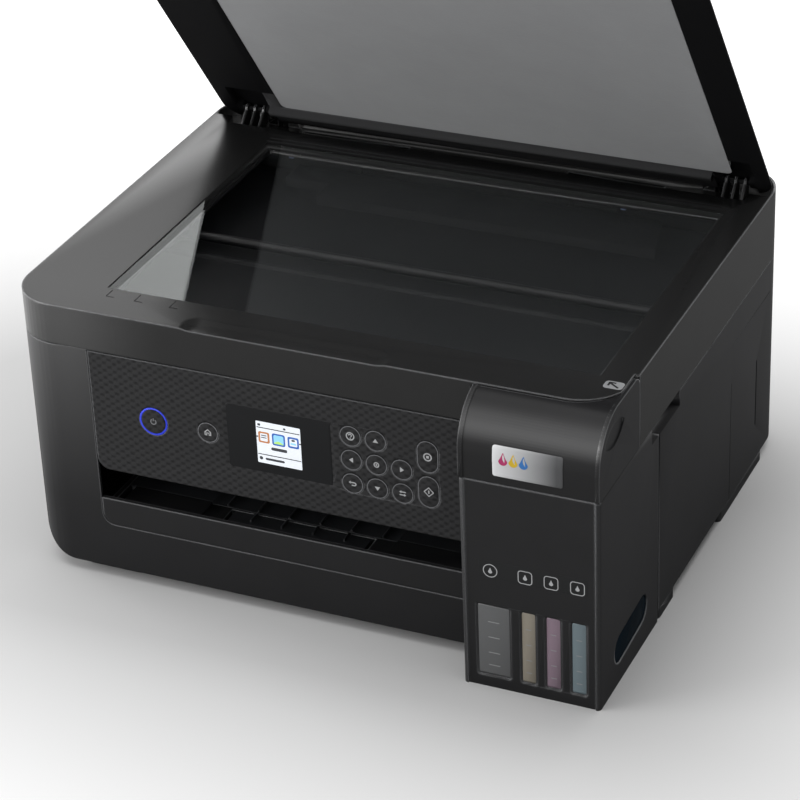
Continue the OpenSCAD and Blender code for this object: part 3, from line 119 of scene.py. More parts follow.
def add(tree: Tree, kind: str, inputs: dict[str | int, object] | None = None, **settings: object) -> Node:
    """Adds one node with its settings and inputs.

    Args:
        tree: Node tree that gets the node.
        kind: Node type without its "ShaderNode" prefix.
        inputs: Plain values and output sockets, keyed by the input that each one feeds.
        **settings: Properties of the node itself.

    Returns:
        The new node.
    """
    node = tree.nodes.new("ShaderNode" + kind)
    for key, value in settings.items():
        setattr(node, key, value)
    for key, value in (inputs or {}).items():
        if isinstance(value, Socket):
            tree.links.new(value, node.inputs[key])
        else:
            node.inputs[key].default_value = value
    return node


def per_mm(size: float) -> float:
    """Gives the texture scale at which one cell is that many millimetres wide."""
    return 1 / (size * MM)


def blank(name: str) -> bpy.types.Material:
    """Gives a new material whose node tree is empty.

    Args:
        name: Its name.

    Returns:
        The material, which still needs its output.
    """
    made = bpy.data.materials.new(name)
    made.use_nodes = True
    made.node_tree.nodes.clear()
    return made


# ------------------------------------------------------------------ finishes


@dataclass(frozen=True)
class Finish:
    """A finish with one base colour, fine unevenness and softly broken edges.

    Fields:
        name: What the surface is and how it was made.
        colour: Base colour.
        rough: Roughness.
        ior: Index of refraction.
        grain: Width of the grain, in mm.
        depth: Height of the grain, in mm; 0 for none.
        drift: Share by which the colour wanders over the piece.
        edge: Radius of the broken edges, in mm; 0 for none.
        edge_light: Share by which rubbing has paled the broken edges.
        metal: Whether the surface is bare metal.
    """

    name: str
    colour: str
    rough: float = 0.45
    ior: float = 1.5
    grain: float = 1.2
    depth: float = 0.012
    drift: float = 0.08
    edge: float = 0.5
    # edge_light: Share of painted light on the broken edges: a painted highlight, and painted shade where they face
    # down.
    edge_light: float = 0.0
    metal: bool = False

    def place(self, tree: Tree) -> Socket:
        """Gives the piece's own coordinates, in metres."""
        return add(tree, "TexCoord").outputs["Object"]

    def shaded(self, share: float) -> Colour:
        """Gives the base colour, made lighter or darker by a factor."""
        red, green, blue, _ = linear(self.colour)
        return (red * share, green * share, blue * share, 1.0)

    def tint(self, tree: Tree) -> Socket:
        """Gives the colour: the base, a little lighter and darker in soft patches.

        Args:
            tree: Node tree to work in.

        Returns:
            The colour.
        """
        cloud = add(tree, "TexNoise", {"Vector": self.place(tree), "Scale": per_mm(PATCH_MM), "Detail": 3.0})
        tone = add(tree, "ValToRGB", {"Fac": cloud.outputs["Fac"]})
        for stop, place, share in zip(tone.color_ramp.elements, CLOUD, (1 - self.drift, 1 + self.drift)):
            stop.position = place
            stop.color = self.shaded(share)
        return tone.outputs["Color"]

    def height(self, tree: Tree) -> Socket:
        """Gives the relief between 0 and 1: an even, fine grain."""
        grain = {"Vector": self.place(tree), "Scale": per_mm(self.grain), "Detail": 2.0}
        return add(tree, "TexNoise", grain).outputs["Fac"]

    def polish(self, tree: Tree) -> Socket:
        """Gives the roughness: handled areas are a little smoother than the rest.

        Args:
            tree: Node tree to work in.

        Returns:
            The roughness.
        """
        cloud = add(tree, "TexNoise", {"Vector": self.place(tree), "Scale": per_mm(HANDLED_MM), "Detail": 2.0})
        ends = {"From Min": CLOUD[0], "From Max": CLOUD[1]}
        ends |= {"To Min": self.rough - HANDLED_SHARE, "To Max": self.rough + HANDLED_SHARE}
        return add(tree, "MapRange", {"Value": cloud.outputs["Fac"], **ends}).outputs["Result"]

    def rounded(self, tree: Tree) -> Socket | None:
        """Gives the surface direction with its edges broken."""
        if not self.edge:
            return None
        return add(tree, "Bevel", {"Radius": self.edge * MM}, samples=4).outputs["Normal"]

    def light_edges(self, tree: Tree, colour: Socket, rounded: Socket | None) -> Socket:
        """Gives the colour with a painted highlight on its broken edges, and painted shade where they face down.

        The share is most where the broken edge turns furthest from the face.

        Args:
            tree: Node tree to work in.
            colour: Colour of the surface.
            rounded: Surface direction with its edges broken, or None.

        Returns:
            The colour with its painted edge highlight and shade.
        """
        if not (self.edge_light and rounded):
            return colour
        # Painted light on the broken edges: its share grows as the edge turns from its face
        flat = add(tree, "NewGeometry").outputs["Normal"]
        turn = add(tree, "VectorMath", {0: rounded, 1: flat}, operation="DOT_PRODUCT").outputs["Value"]
        ends = {"From Min": EDGE_TURN[0], "From Max": EDGE_TURN[1], "To Max": self.edge_light}
        edge_share = add(tree, "MapRange", {"Value": turn, **ends}).outputs["Result"]
        # Edges that face down get painted shade, and the others a painted highlight
        up = add(tree, "SeparateXYZ", {"Vector": rounded}).outputs["Z"]
        side = add(tree, "MapRange", {"Value": up, "From Min": SHADED_EDGE_Z[0], "From Max": SHADED_EDGE_Z[1]})
        tone = add(tree, "ValToRGB", {"Fac": side.outputs["Result"]})
        for stop, shade in zip(tone.color_ramp.elements, (EDGE_SHADE, linear(EDGE_HIGHLIGHT))):
            stop.color = shade
        return add(tree, "Mix", {"Factor": edge_share, 6: colour, 7: tone.outputs["Color"]}, data_type="RGBA").outputs[2]

    def normal(self, tree: Tree, rounded: Socket | None) -> Socket | None:
        """Gives the surface direction: broken edges, with the grain on top.

        Args:
            tree: Node tree to work in.
            rounded: Surface direction with its edges broken, or None.

        Returns:
            The direction, or None where the surface has neither.
        """
        if not self.depth:
            return rounded
        inputs = {"Height": self.height(tree), "Strength": 1.0, "Distance": self.depth * MM}
        if rounded:
            inputs["Normal"] = rounded
        return add(tree, "Bump", inputs).outputs["Normal"]

    def extra(self, tree: Tree) -> dict[str, object]:
        """Gives the shader inputs that only this kind of finish sets; plain ones have none."""
        return {}

    def shade(self, tree: Tree) -> Node:
        """Builds the shader.

        Args:
            tree: Node tree to work in.

        Returns:
            The shader node.
        """
        rounded = self.rounded(tree)
        inputs = {"Base Color": self.light_edges(tree, self.tint(tree), rounded), "Roughness": self.polish(tree)}
        inputs |= {"Metallic": 1.0} if self.metal else {"IOR": self.ior}
        normal = self.normal(tree, rounded)
        if normal:
            inputs["Normal"] = normal
        return add(tree, "BsdfPrincipled", inputs | self.extra(tree))

    def material(self) -> bpy.types.Material:
        """Builds the material, or gives the one already built.

        Returns:
            The material.
        """
        found = bpy.data.materials.get(self.name)
        if found:
            return found
        made = blank(self.name)
        add(made.node_tree, "OutputMaterial", {"Surface": self.shade(made.node_tree).outputs["BSDF"]})
        return made


@dataclass(frozen=True)
class WovenLookPlastic(Finish):
    """Black ABS moulded against an etched tool: rows of short, flat dashes like a fine weave.

    Fields:
        dash: Length that a dip and a rise share along a row, in mm.
        row: Height of a row, in mm.
        dip: Share of the colour that is left in the dips.
        wave: Values of the product of sines that give the lowest and highest relief.
        wander_cell: Width of the noise that moves the dashes, in mm.
        wander_mm: How far it moves them.
    """

    rough: float = 0.48
    ior: float = 1.2
    depth: float = 0.2
    dash: float = 6.6
    row: float = 2.4
    dip: float = 0.42
    wave: Pair = (-0.85, 0.25)
    wander_cell: float = 2.6
    wander_mm: float = 1.1

    def height(self, tree: Tree) -> Socket:
        """Gives the relief between 0 and 1.

        It is sin(2 pi x / dash) times sin(pi z / row), so dips and rises take turns along a row
        and stand staggered from row to row; a little noise makes them wander.

        Args:
            tree: Node tree to work in.

        Returns:
            The relief.
        """
        cells = {"Vector": self.place(tree), "Scale": per_mm(self.wander_cell), "Detail": 1.0}
        wander = add(tree, "TexNoise", cells).outputs["Color"]
        offset = add(tree, "VectorMath", {0: wander, 1: (0.5, 0.5, 0.5)}, operation="SUBTRACT").outputs[0]
        shift = add(tree, "VectorMath", {0: offset, "Scale": self.wander_mm * MM}, operation="SCALE").outputs[0]
        moved = add(tree, "VectorMath", {0: self.place(tree), 1: shift}, operation="ADD").outputs[0]
        apart = add(tree, "SeparateXYZ", {"Vector": moved}).outputs
        waves = []
        for axis, turns in (("X", math.tau / (self.dash * MM)), ("Z", math.pi / (self.row * MM))):
            angle = add(tree, "Math", {0: apart[axis], 1: turns}, operation="MULTIPLY").outputs["Value"]
            waves.append(add(tree, "Math", {0: angle}, operation="SINE").outputs["Value"])
        both = add(tree, "Math", {0: waves[0], 1: waves[1]}, operation="MULTIPLY").outputs["Value"]
        ends = {"From Min": self.wave[0], "From Max": self.wave[1]}
        return add(tree, "MapRange", {"Value": both, **ends}).outputs["Result"]

    def tint(self, tree: Tree) -> Socket:
        """Gives the colour: the dips are darker, as they hold less light."""
        tone = add(tree, "ValToRGB", {"Fac": self.height(tree)})
        for stop, share in zip(tone.color_ramp.elements, (self.dip, 1.0)):
            stop.color = self.shaded(share)
        return tone.outputs["Color"]


@dataclass(frozen=True)
class TooledPlastic(Finish):
    """Black ABS: satin in front and on top, glossier towards its upper left end, matt on its flanks.

    Fields:
        left_ior: Index at the upper left end of the front.
        corner_ior: Index high on the left corner.
        low_ior: Index low on the left corner.
        top_ior: Index of faces that look up.
        side_rough: Roughness of the flanks.
        side_ior: Index of the flanks.
        left_mm: X at which the left end begins, and at which it is complete.
        rise_mm: Heights at which it does so.
        corner_x: Sideways part of the face's direction where the corner begins and is complete.
        up_z: Upward part where faces begin to look up, and do so fully.
        flank_x: Sideways part where the flanks begin and are complete.
    """

    rough: float = 0.42
    left_ior: float = 1.6
    corner_ior: float = 1.66
    low_ior: float = 1.22
    top_ior: float = 1.26
    side_rough: float = 0.55
    side_ior: float = 1.12
    left_mm: Pair = (-80.0, -155.0)
    rise_mm: Pair = (50.0, 170.0)
    corner_x: Pair = (-0.02, -0.35)
    up_z: Pair = (0.3, 0.8)
    flank_x: Pair = (0.75, 0.95)

    def index(self, tree: Tree, facing: Node) -> Socket:
        """Gives the index of all faces but the flanks.

        Each stage runs between two values of a place or a direction, from the index before it.

        Args:
            tree: Node tree to work in.
            facing: Node that gives the X, Y and Z of the face's direction.

        Returns:
            The index.
        """
        place = add(tree, "SeparateXYZ", {"Vector": self.place(tree)}).outputs
        first, last = self.left_mm
        ends = {"From Min": first * MM, "From Max": last * MM, "To Min": self.ior, "To Max": self.left_ior}
        left = add(tree, "MapRange", {"Value": place["X"], **ends}, interpolation_type="SMOOTHSTEP")
        low, high = self.rise_mm
        rise = {"Value": place["Z"], "From Min": low * MM, "From Max": high * MM}
        front = add(tree, "MapRange", {**rise, "To Min": self.ior, "To Max": left.outputs["Result"]})
        turned = add(tree, "MapRange", {**rise, "To Min": self.low_ior, "To Max": self.corner_ior})
        stage = front.outputs["Result"]
        for axis, (start, end), goal in (
            ("X", self.corner_x, turned.outputs["Result"]),
            ("Z", self.up_z, self.top_ior),
        ):
            ends = {"From Min": start, "From Max": end, "To Min": stage, "To Max": goal}
            stage = add(tree, "MapRange", {"Value": facing.outputs[axis], **ends}).outputs["Result"]
        return stage

    def extra(self, tree: Tree) -> dict[str, object]:
        """Gives the roughness and the index from the way that the face looks.

        Args:
            tree: Node tree to work in.

        Returns:
            Both, keyed by the shader input that each one feeds.
        """
        facing = add(tree, "SeparateXYZ", {"Vector": add(tree, "TexCoord").outputs["Normal"]})
        across = add(tree, "Math", {0: facing.outputs["X"]}, operation="ABSOLUTE").outputs["Value"]
        flank = {"Value": across, "From Min": self.flank_x[0], "From Max": self.flank_x[1]}
        rough = add(tree, "MapRange", {**flank, "To Min": self.rough, "To Max": self.side_rough})
        index = add(tree, "MapRange", {**flank, "To Min": self.index(tree, facing), "To Max": self.side_ior})
        return {"Roughness": rough.outputs["Result"], "IOR": index.outputs["Result"]}


@dataclass(frozen=True)
class CrownedPlastic(TooledPlastic):
    """Black ABS of the filler cover: polished halfway round its crown, matt on top.

    Fields:
        crown_ior: Index halfway round the crown.
        crown_z: Upward part of the face's direction at the crown's front, middle and top.
    """

    crown_ior: float = 1.5
    crown_z: tuple[float, float, float] = (0.2, 0.54, 0.92)

    def index(self, tree: Tree, facing: Node) -> Socket:
        """Gives the index: it rises to the middle of the crown and falls again towards the top.

        Args:
            tree: Node tree to work in.
            facing: Node that gives the X, Y and Z of the face's direction.

        Returns:
            The index.
        """
        front, middle, top = self.crown_z
        stage = self.ior
        for start, end, goal in ((front, middle, self.crown_ior), (middle, top, self.top_ior)):
            ends = {"From Min": start, "From Max": end, "To Min": stage, "To Max": goal}
            node = add(tree, "MapRange", {"Value": facing.outputs["Z"], **ends}, interpolation_type="SMOOTHSTEP")
            stage = node.outputs["Result"]
        return stage


@dataclass(frozen=True)
class LitPlastic(Finish):
    """Plastic that carries its own light, such as a lit ring or a screen's picture."""

    rough: float = 0.3
    depth: float = 0.0
    drift: float = 0.0
    edge: float = 0.0
    glow: float = 1.0

    def extra(self, tree: Tree) -> dict[str, object]:
        """Gives the light that comes out through the surface."""
        return {"Emission Color": linear(self.colour), "Emission Strength": self.glow}


@dataclass(frozen=True)
class FlatMark(Finish):
    """Printed ink, stamped foil or a fine moulded line: no relief and no broken edges of its own."""

    rough: float = 0.6
    depth: float = 0.0
    drift: float = 0.03
    edge: float = 0.0


@dataclass(frozen=True)
class PlainMoulding(Finish):
    """Small moulded part, as it comes from the tool."""

    rough: float = 0.5
    edge: float = 0.4


@dataclass(frozen=True)
class InkTankPlastic(Finish):
    """Milky polypropylene, dark up to the level of the ink behind it and pale above."""

    rough: float = 0.35
    depth: float = 0.0
    edge: float = 0.3
    pale: str = "#b4b4b2"
    level_mm: float = 62.0
    line_mm: float = 1.2
    milky: float = 0.15
    deep_mm: float = 2.0

    def tint(self, tree: Tree) -> Socket:
        """Gives the colour: ink below its level, empty milky plastic above, with a soft line between.

        Args:
            tree: Node tree to work in.

        Returns:
            The colour.
        """
        up = add(tree, "SeparateXYZ", {"Vector": self.place(tree)}).outputs["Z"]
        ends = {"From Min": (self.level_mm - self.line_mm) * MM, "From Max": (self.level_mm + self.line_mm) * MM}
        above = add(tree, "MapRange", {"Value": up, **ends}).outputs["Result"]
        mix = {"Factor": above, 6: linear(self.colour), 7: linear(self.pale)}
        return add(tree, "Mix", mix, data_type="RGBA").outputs[2]

    def extra(self, tree: Tree) -> dict[str, object]:
        """Lets a little light spread inside the milky wall."""
        reach = (self.deep_mm * MM,) * 3
        return {"Subsurface Weight": self.milky, "Subsurface Radius": reach, "Subsurface Scale": 1.0}


@dataclass(frozen=True)
class FloatGlass(Finish):
    """Float glass, polished on both faces: clear, with a mirror-like sheen at low angles."""

    boost: float = 0.6

    def shade(self, tree: Tree) -> Node:
        """Builds the shader: a mirror whose share of the light follows the Fresnel law at each face.

        Args:
            tree: Node tree to work in.

        Returns:
            The shader node.
        """
        # Seen from inside, the index is turned over so that both faces mirror alike
        inside = add(tree, "NewGeometry").outputs["Backfacing"]
        index = add(tree, "MapRange", {"Value": inside, "To Min": self.ior, "To Max": 1 / self.ior})
        share = add(tree, "Fresnel", {"IOR": index.outputs["Result"]}).outputs["Fac"]
        part = add(tree, "Math", {0: share, 1: self.boost}, operation="MULTIPLY").outputs["Value"]
        mirror = {"Base Color": linear(self.colour), "Metallic": 1.0, "Roughness": self.rough}
        return add(tree, "BsdfPrincipled", {"Alpha": part, **mirror})


@dataclass(frozen=True)
class FoamFilm(Finish):
    """Grey film laminated on foam: matt, with the shallow quilting that the foam gives it."""

    grain: float = 1.4
    cell: float = 9.0
    sheen: float = 1.0
    sheen_rough: float = 0.4

    def extra(self, tree: Tree) -> dict[str, object]:
        """Gives the soft sheen that the film's fine wrinkles have at a low angle."""
        return {"Sheen Weight": self.sheen, "Sheen Roughness": self.sheen_rough}

    def height(self, tree: Tree) -> Socket:
        """Gives the relief: soft shallow cells with a finer grain over them."""
        cell = {"Vector": self.place(tree), "Scale": per_mm(self.cell)}
        cells = add(tree, "TexVoronoi", cell, feature="SMOOTH_F1").outputs["Distance"]
        grain = super().height(tree)
        return add(tree, "Math", {0: cells, 1: grain}, operation="ADD").outputs["Value"]


@dataclass(frozen=True)
class LippedPlastic(Finish):
    """Matt black ABS of the lid, with a painted highlight on its inner face's lip beside the hinge."""

    lip: str = "#3a3a3b"
    lip_x_mm: float = 149.0
    lip_z_mm: float = 202.0

    def tint(self, tree: Tree) -> Socket:
        """Gives the colour: a painted highlight, the lip's paler grey, where a front face is low and between the lip's
        ends.

        Args:
            tree: Node tree to work in.

        Returns:
            The colour.
        """
        place = add(tree, "SeparateXYZ", {"Vector": self.place(tree)}).outputs
        across = add(tree, "Math", {0: place["X"]}, operation="ABSOLUTE").outputs["Value"]
        facing = add(tree, "SeparateXYZ", {"Vector": add(tree, "TexCoord").outputs["Normal"]}).outputs
        share = 1.0
        for value, limit in ((facing["Y"], 0.0), (place["Z"], self.lip_z_mm * MM), (across, self.lip_x_mm * MM)):
            below = add(tree, "Math", {0: value, 1: limit}, operation="LESS_THAN").outputs["Value"]
            share = add(tree, "Math", {0: below, 1: share}, operation="MULTIPLY").outputs["Value"]
        # The lip's paler grey is a painted highlight
        mix = {"Factor": share, 6: linear(self.colour), 7: linear(self.lip)}
        return add(tree, "Mix", mix, data_type="RGBA").outputs[2]


@dataclass(frozen=True)
class BrushedMetal(Finish):
    """Metal drawn or ground along X: fine lines that stretch the highlights across them."""

    grain: float = 0.6
    depth: float = 0.004
    metal: bool = True

    def height(self, tree: Tree) -> Socket:
        """Gives the relief: noise stretched forty times along X."""
        drawn = add(tree, "Mapping", {"Vector": self.place(tree), "Scale": (0.025, 1.0, 1.0)}).outputs["Vector"]
        grain = {"Vector": drawn, "Scale": per_mm(self.grain), "Detail": 3.0}
        return add(tree, "TexNoise", grain).outputs["Fac"]


@dataclass(frozen=True)
class PaintedShadeFoil(Finish):
    """Hot-stamped foil with painted shade: bright at its left end and greyer towards its right end."""

    # Colour at the right end, where the painted shade is deepest
    end: str = "#3a3b3d"
    x_mm: Pair = (127.0, 163.0)

    def tint(self, tree: Tree) -> Socket:
        """Gives the colour: painted shade, in one blend from left to right across the plate.

        Args:
            tree: Node tree to work in.

        Returns:
            The colour.
        """
        along = add(tree, "SeparateXYZ", {"Vector": self.place(tree)}).outputs["X"]
        ends = {"From Min": self.x_mm[0] * MM, "From Max": self.x_mm[1] * MM}
        way = add(tree, "MapRange", {"Value": along, **ends}).outputs["Result"]
        mix = {"Factor": way, 6: linear(self.colour), 7: linear(self.end)}
        return add(tree, "Mix", mix, data_type="RGBA").outputs[2]


class Look(Enum):
    """Every finish of the printer, named for its material and how its surface was made."""

    # ABS moulded against a spark-eroded tool: near black, an even fine grain, soft wide highlights
    CASE = TooledPlastic("abs_spark_grained_black", "#1a1a1b", ior=1.26, depth=0.010, edge=1.3, edge_light=0.8)
    # Ink unit: the same plastic, with a stronger painted highlight on its broken edges
    UNIT = TooledPlastic("abs_spark_grained_unit", "#1d1d1e", ior=1.25, depth=0.010, edge=2.0, edge_light=1.0)
    # Cover of the ink unit: polished a little more, so that its round front takes a broad highlight
    COVER = CrownedPlastic("abs_satin_black_cover", "#1b1b1c", rough=0.3, ior=1.25, top_ior=1.17, edge=1.2, edge_light=0.6)
    # The same ABS with a finer tool: a smoother deck that mirrors the room softly at low angles
    DECK = TooledPlastic(
        "abs_fine_grained_black", "#1e1e1e", rough=0.25, ior=1.28, side_ior=1.13, depth=0.006, edge=1.5, edge_light=0.8
    )
    # Raised lid, matt black mouldings round its rim, with a painted highlight on the lip beside the hinge
    LID = LippedPlastic(
        "abs_matt_black_lid", "#0b0b0c", rough=0.75, ior=1.12, grain=1.1, depth=0.008, edge=1.0, edge_light=0.7
    )
    # Etched fascia: rows of dashes that read as a fine weave
    PANEL = WovenLookPlastic("abs_etched_weave_black", "#2e2e2f", edge=1.3, edge_light=0.8)
    # Keys: the same etched plastic, flush with the panel
    KEY = WovenLookPlastic("abs_etched_weave_keys", "#2e2e2f", edge=0.4)
    # Polished acrylic window over the screen: deep and smooth
    LENS = Finish("acrylic_polished_smoke", "#101113", rough=0.2, depth=0.0, drift=0.0, edge=0.3, ior=1.25)
    # Backlit picture of the screen
    SCREEN = LitPlastic("lcd_backlit_white", "#dfe4ea", glow=0.46)
    SCREEN_BLUE = LitPlastic("lcd_lit_blue", "#2a5fb4", glow=0.3)
    SCREEN_SKY = LitPlastic("lcd_backlit_sky", "#86c3e6", rough=0.2, glow=0.6)
    SCREEN_GREEN = LitPlastic("lcd_backlit_green", "#a8d36b", rough=0.2, glow=0.6)
    SCREEN_TAN = LitPlastic("lcd_lit_tan", "#b9794c", glow=0.35)
    SCREEN_GREY = LitPlastic("lcd_lit_grey", "#2f3238", glow=0.1)
    # Frosted light guide round the power key, lit from behind by blue diodes
    RING = LitPlastic("acrylic_frosted_lit_blue", "#1f33c0", rough=0.35, glow=0.45)
    # Pad-printed light grey ink: flat and matt
    PRINT = FlatMark("pad_printed_grey_ink", "#b4b5b7")
    PRINT_DIM = FlatMark("pad_printed_dim_ink", "#707174")
    PRINT_SILVER = FlatMark("pad_printed_silver", "#87888a", rough=0.5)
    # Black pad print: marks that are darker than the deck round them
    PRINT_DARK = FlatMark("pad_printed_black_ink", "#060607", rough=0.7, ior=1.2, drift=0.0)
    # Level ticks on the tanks: moulded, so they are a little paler than the ink behind them
    TICK = FlatMark("pp_moulded_tick", "#8e8f90", rough=0.5)
    # Ink drops on the badge, hot stamped in the colours of the inks
    DROP_MAGENTA = FlatMark("foil_stamped_magenta", "#b01e62", rough=0.4, drift=0.05)
    DROP_YELLOW = FlatMark("foil_stamped_yellow", "#d6b312", rough=0.4, drift=0.05)
    DROP_BLUE = FlatMark("foil_stamped_blue", "#2470b8", rough=0.4, drift=0.05)
    # Badge plate, hot stamped: pale metal foil with painted shade that greys it softly from left to right
    BADGE = PaintedShadeFoil("foil_stamped_badge_silver", "#e9eaec", rough=0.42, grain=0.9, depth=0.002, edge=0.2)
    # Clear side window of the tank unit, over dark blue ink
    WINDOW = Finish(
        "polycarbonate_clear_dark_blue", "#06141d", rough=0.2, depth=0.0, drift=0.2, edge=0.6, edge_light=0.25, ior=1.03
    )
    # Tank walls with the ink behind them
    INK_BLACK = InkTankPlastic("polypropylene_milky_black_ink", "#5c5d5e")
    INK_YELLOW = InkTankPlastic("polypropylene_milky_yellow_ink", "#8b8477")
    INK_MAGENTA = InkTankPlastic("polypropylene_milky_magenta_ink", "#84717e")
    INK_CYAN = InkTankPlastic("polypropylene_milky_cyan_ink", "#6c7b81")
    # Caps of the fillers, in the colours of the inks
    CAP_BLACK = PlainMoulding("tpe_moulded_black_cap", "#202123")
    CAP_YELLOW = PlainMoulding("tpe_moulded_yellow_cap", "#d9b91c")
    CAP_MAGENTA = PlainMoulding("tpe_moulded_magenta_cap", "#b5317c")
    CAP_CYAN = PlainMoulding("tpe_moulded_cyan_cap", "#2479bd")
    # Dark grey inner mouldings, as they come from the tool
    INNER = PlainMoulding("abs_moulded_dark_grey", "#2b2c2e")
    INNER_BLACK = PlainMoulding("abs_moulded_inner_black", "#131415")
    TRAY = PlainMoulding("abs_moulded_tray_black", "#17181a", rough=0.48, edge=0.5)
    SCAN_TRAY = PlainMoulding("abs_moulded_scan_bed", "#0e0f10", rough=0.6, ior=1.2, edge=0.5, edge_light=0.12)
    # Scanner glass, and the lid's pad that presses on it
    GLASS = FloatGlass("float_glass_clear", "#f4f8f7", rough=0.015, ior=1.52)
    PAD = FoamFilm("pe_film_on_foam_grey", "#88898b", rough=0.62, depth=0.05, drift=0.03, edge=0.0, ior=1.3)
    # Scan rail: steel turned and blackened against glare
    STEEL_DARK = Finish("steel_blackened_rod", "#131314", grain=0.7, depth=0.003, edge=0.0, ior=1.25)
    STEEL = BrushedMetal("steel_cold_rolled_zinc_plated", "#a9acb0", rough=0.32)
    BRASS = BrushedMetal("brass_hobbed", "#b28a45", rough=0.3, edge=0.2)
    # Belt and rollers, idler gear and circuit board
    RUBBER = Finish("epdm_ground_black", "#1b1b1c", rough=0.8, grain=0.8, depth=0.02, edge=0.4)
    NYLON = Finish("pom_moulded_natural", "#dcd9cf", rough=0.4, edge=0.2)
    BOARD = Finish("fr4_green_solder_mask", "#12532e", rough=0.35, edge=0.2)
    # Cable clip of pale blue nylon
    CLIP = Finish("pa_moulded_pale_blue", "#8d9cc6", depth=0.0, edge=0.3)
    # Adhesive-backed label film under the ink windows
    LABEL = Finish("pet_label_film_black", "#0a0b0c", rough=0.5, ior=1.3, depth=0.0, drift=0.02, edge=0.2)


# ------------------------------------------------------------------ shapes as numpy surfaces


def circle(radius: float, count: int = 48, centre: Pair = (0.0, 0.0)) -> np.ndarray:
    """Gives a circle as count points: centre plus radius times (cosine, sine) of an even angle."""
    turn = np.linspace(0, 2 * np.pi, count, endpoint=False)
    return np.stack([centre[0] + radius * np.cos(turn), centre[1] + radius * np.sin(turn)], 1)


def at(outline: np.ndarray, depth: float) -> np.ndarray:
    """Gives the points (u, v) of an outline at one depth, as (u, v, depth)."""
    return np.c_[outline, np.full(len(outline), depth)]


def soft_box(width: float, height: float, radius: float, count: int = 12, power: float = 2.0) -> np.ndarray:
    """Gives a rectangle with round corners, about the origin, counter-clockwise.

    Each corner is a quarter of a superellipse: radius times (cos, sin) to the power 2 / power.

    Args:
        width: Full width.
        height: Full height.
        radius: Corner radius.
        count: Points on each corner.
        power: 2 for a circular corner.

    Returns:
        Points, 4 * count by 2.
    """
    turn = np.linspace(0, np.pi / 2, count)
    quarter = radius * np.stack([np.cos(turn), np.sin(turn)], 1) ** (2 / power)
    reach = np.array([width / 2 - radius, height / 2 - radius])
    spin = np.array([[[1, 0], [0, 1]], [[0, -1], [1, 0]], [[-1, 0], [0, -1]], [[0, 1], [-1, 0]]], float)
    signs = np.array([[1, 1], [-1, 1], [-1, -1], [1, -1]], float)
    return np.concatenate([quarter @ spin[i].T + signs[i] * reach for i in range(4)])


def dense(outline: np.ndarray, step: float) -> np.ndarray:
    """Gives a closed outline with its points spread evenly, at most step apart, along its length.

    Args:
        outline: Points (u, v).
        step: Largest distance between two points.

    Returns:
        The points.
    """
    loop = np.concatenate([outline, outline[:1]])
    run = np.concatenate([[0.0], np.cumsum(np.linalg.norm(np.diff(loop, axis=0), axis=1))])
    even = np.linspace(0, run[-1], math.ceil(run[-1] / step) + 1)[:-1]
    return np.stack([np.interp(even, run, loop[:, 0]), np.interp(even, run, loop[:, 1])], 1)


def arc(radius: float, start: float, end: float, count: int = 20, centre: Pair = (0.0, 0.0)) -> np.ndarray:
    """Gives an open arc from start to end, in degrees: centre plus radius times (cos, sin)."""
    turn = np.radians(np.linspace(start, end, count))
    return np.stack([centre[0] + radius * np.cos(turn), centre[1] + radius * np.sin(turn)], 1)


def show(name: str, data: bpy.types.ID, material: bpy.types.Material | None = None) -> bpy.types.Object:
    """Makes an object of a mesh, a lamp or a camera, with its material if it has one.

    Args:
        name: Name of the object.
        data: Its mesh, lamp or camera.
        material: Finish of the mesh.

    Returns:
        The object, linked to the scene.
    """
    if material:
        data.materials.append(material)
    made = bpy.data.objects.new(name, data)
    bpy.context.scene.collection.objects.link(made)
    return made


def soften(mesh: bpy.types.Mesh, degrees: float) -> None:
    """Shades faces that meet at less than that angle as one surface."""
    mesh.polygons.foreach_set("use_smooth", np.ones(len(mesh.polygons), bool))
    mesh.set_sharp_from_angle(angle=math.radians(degrees))


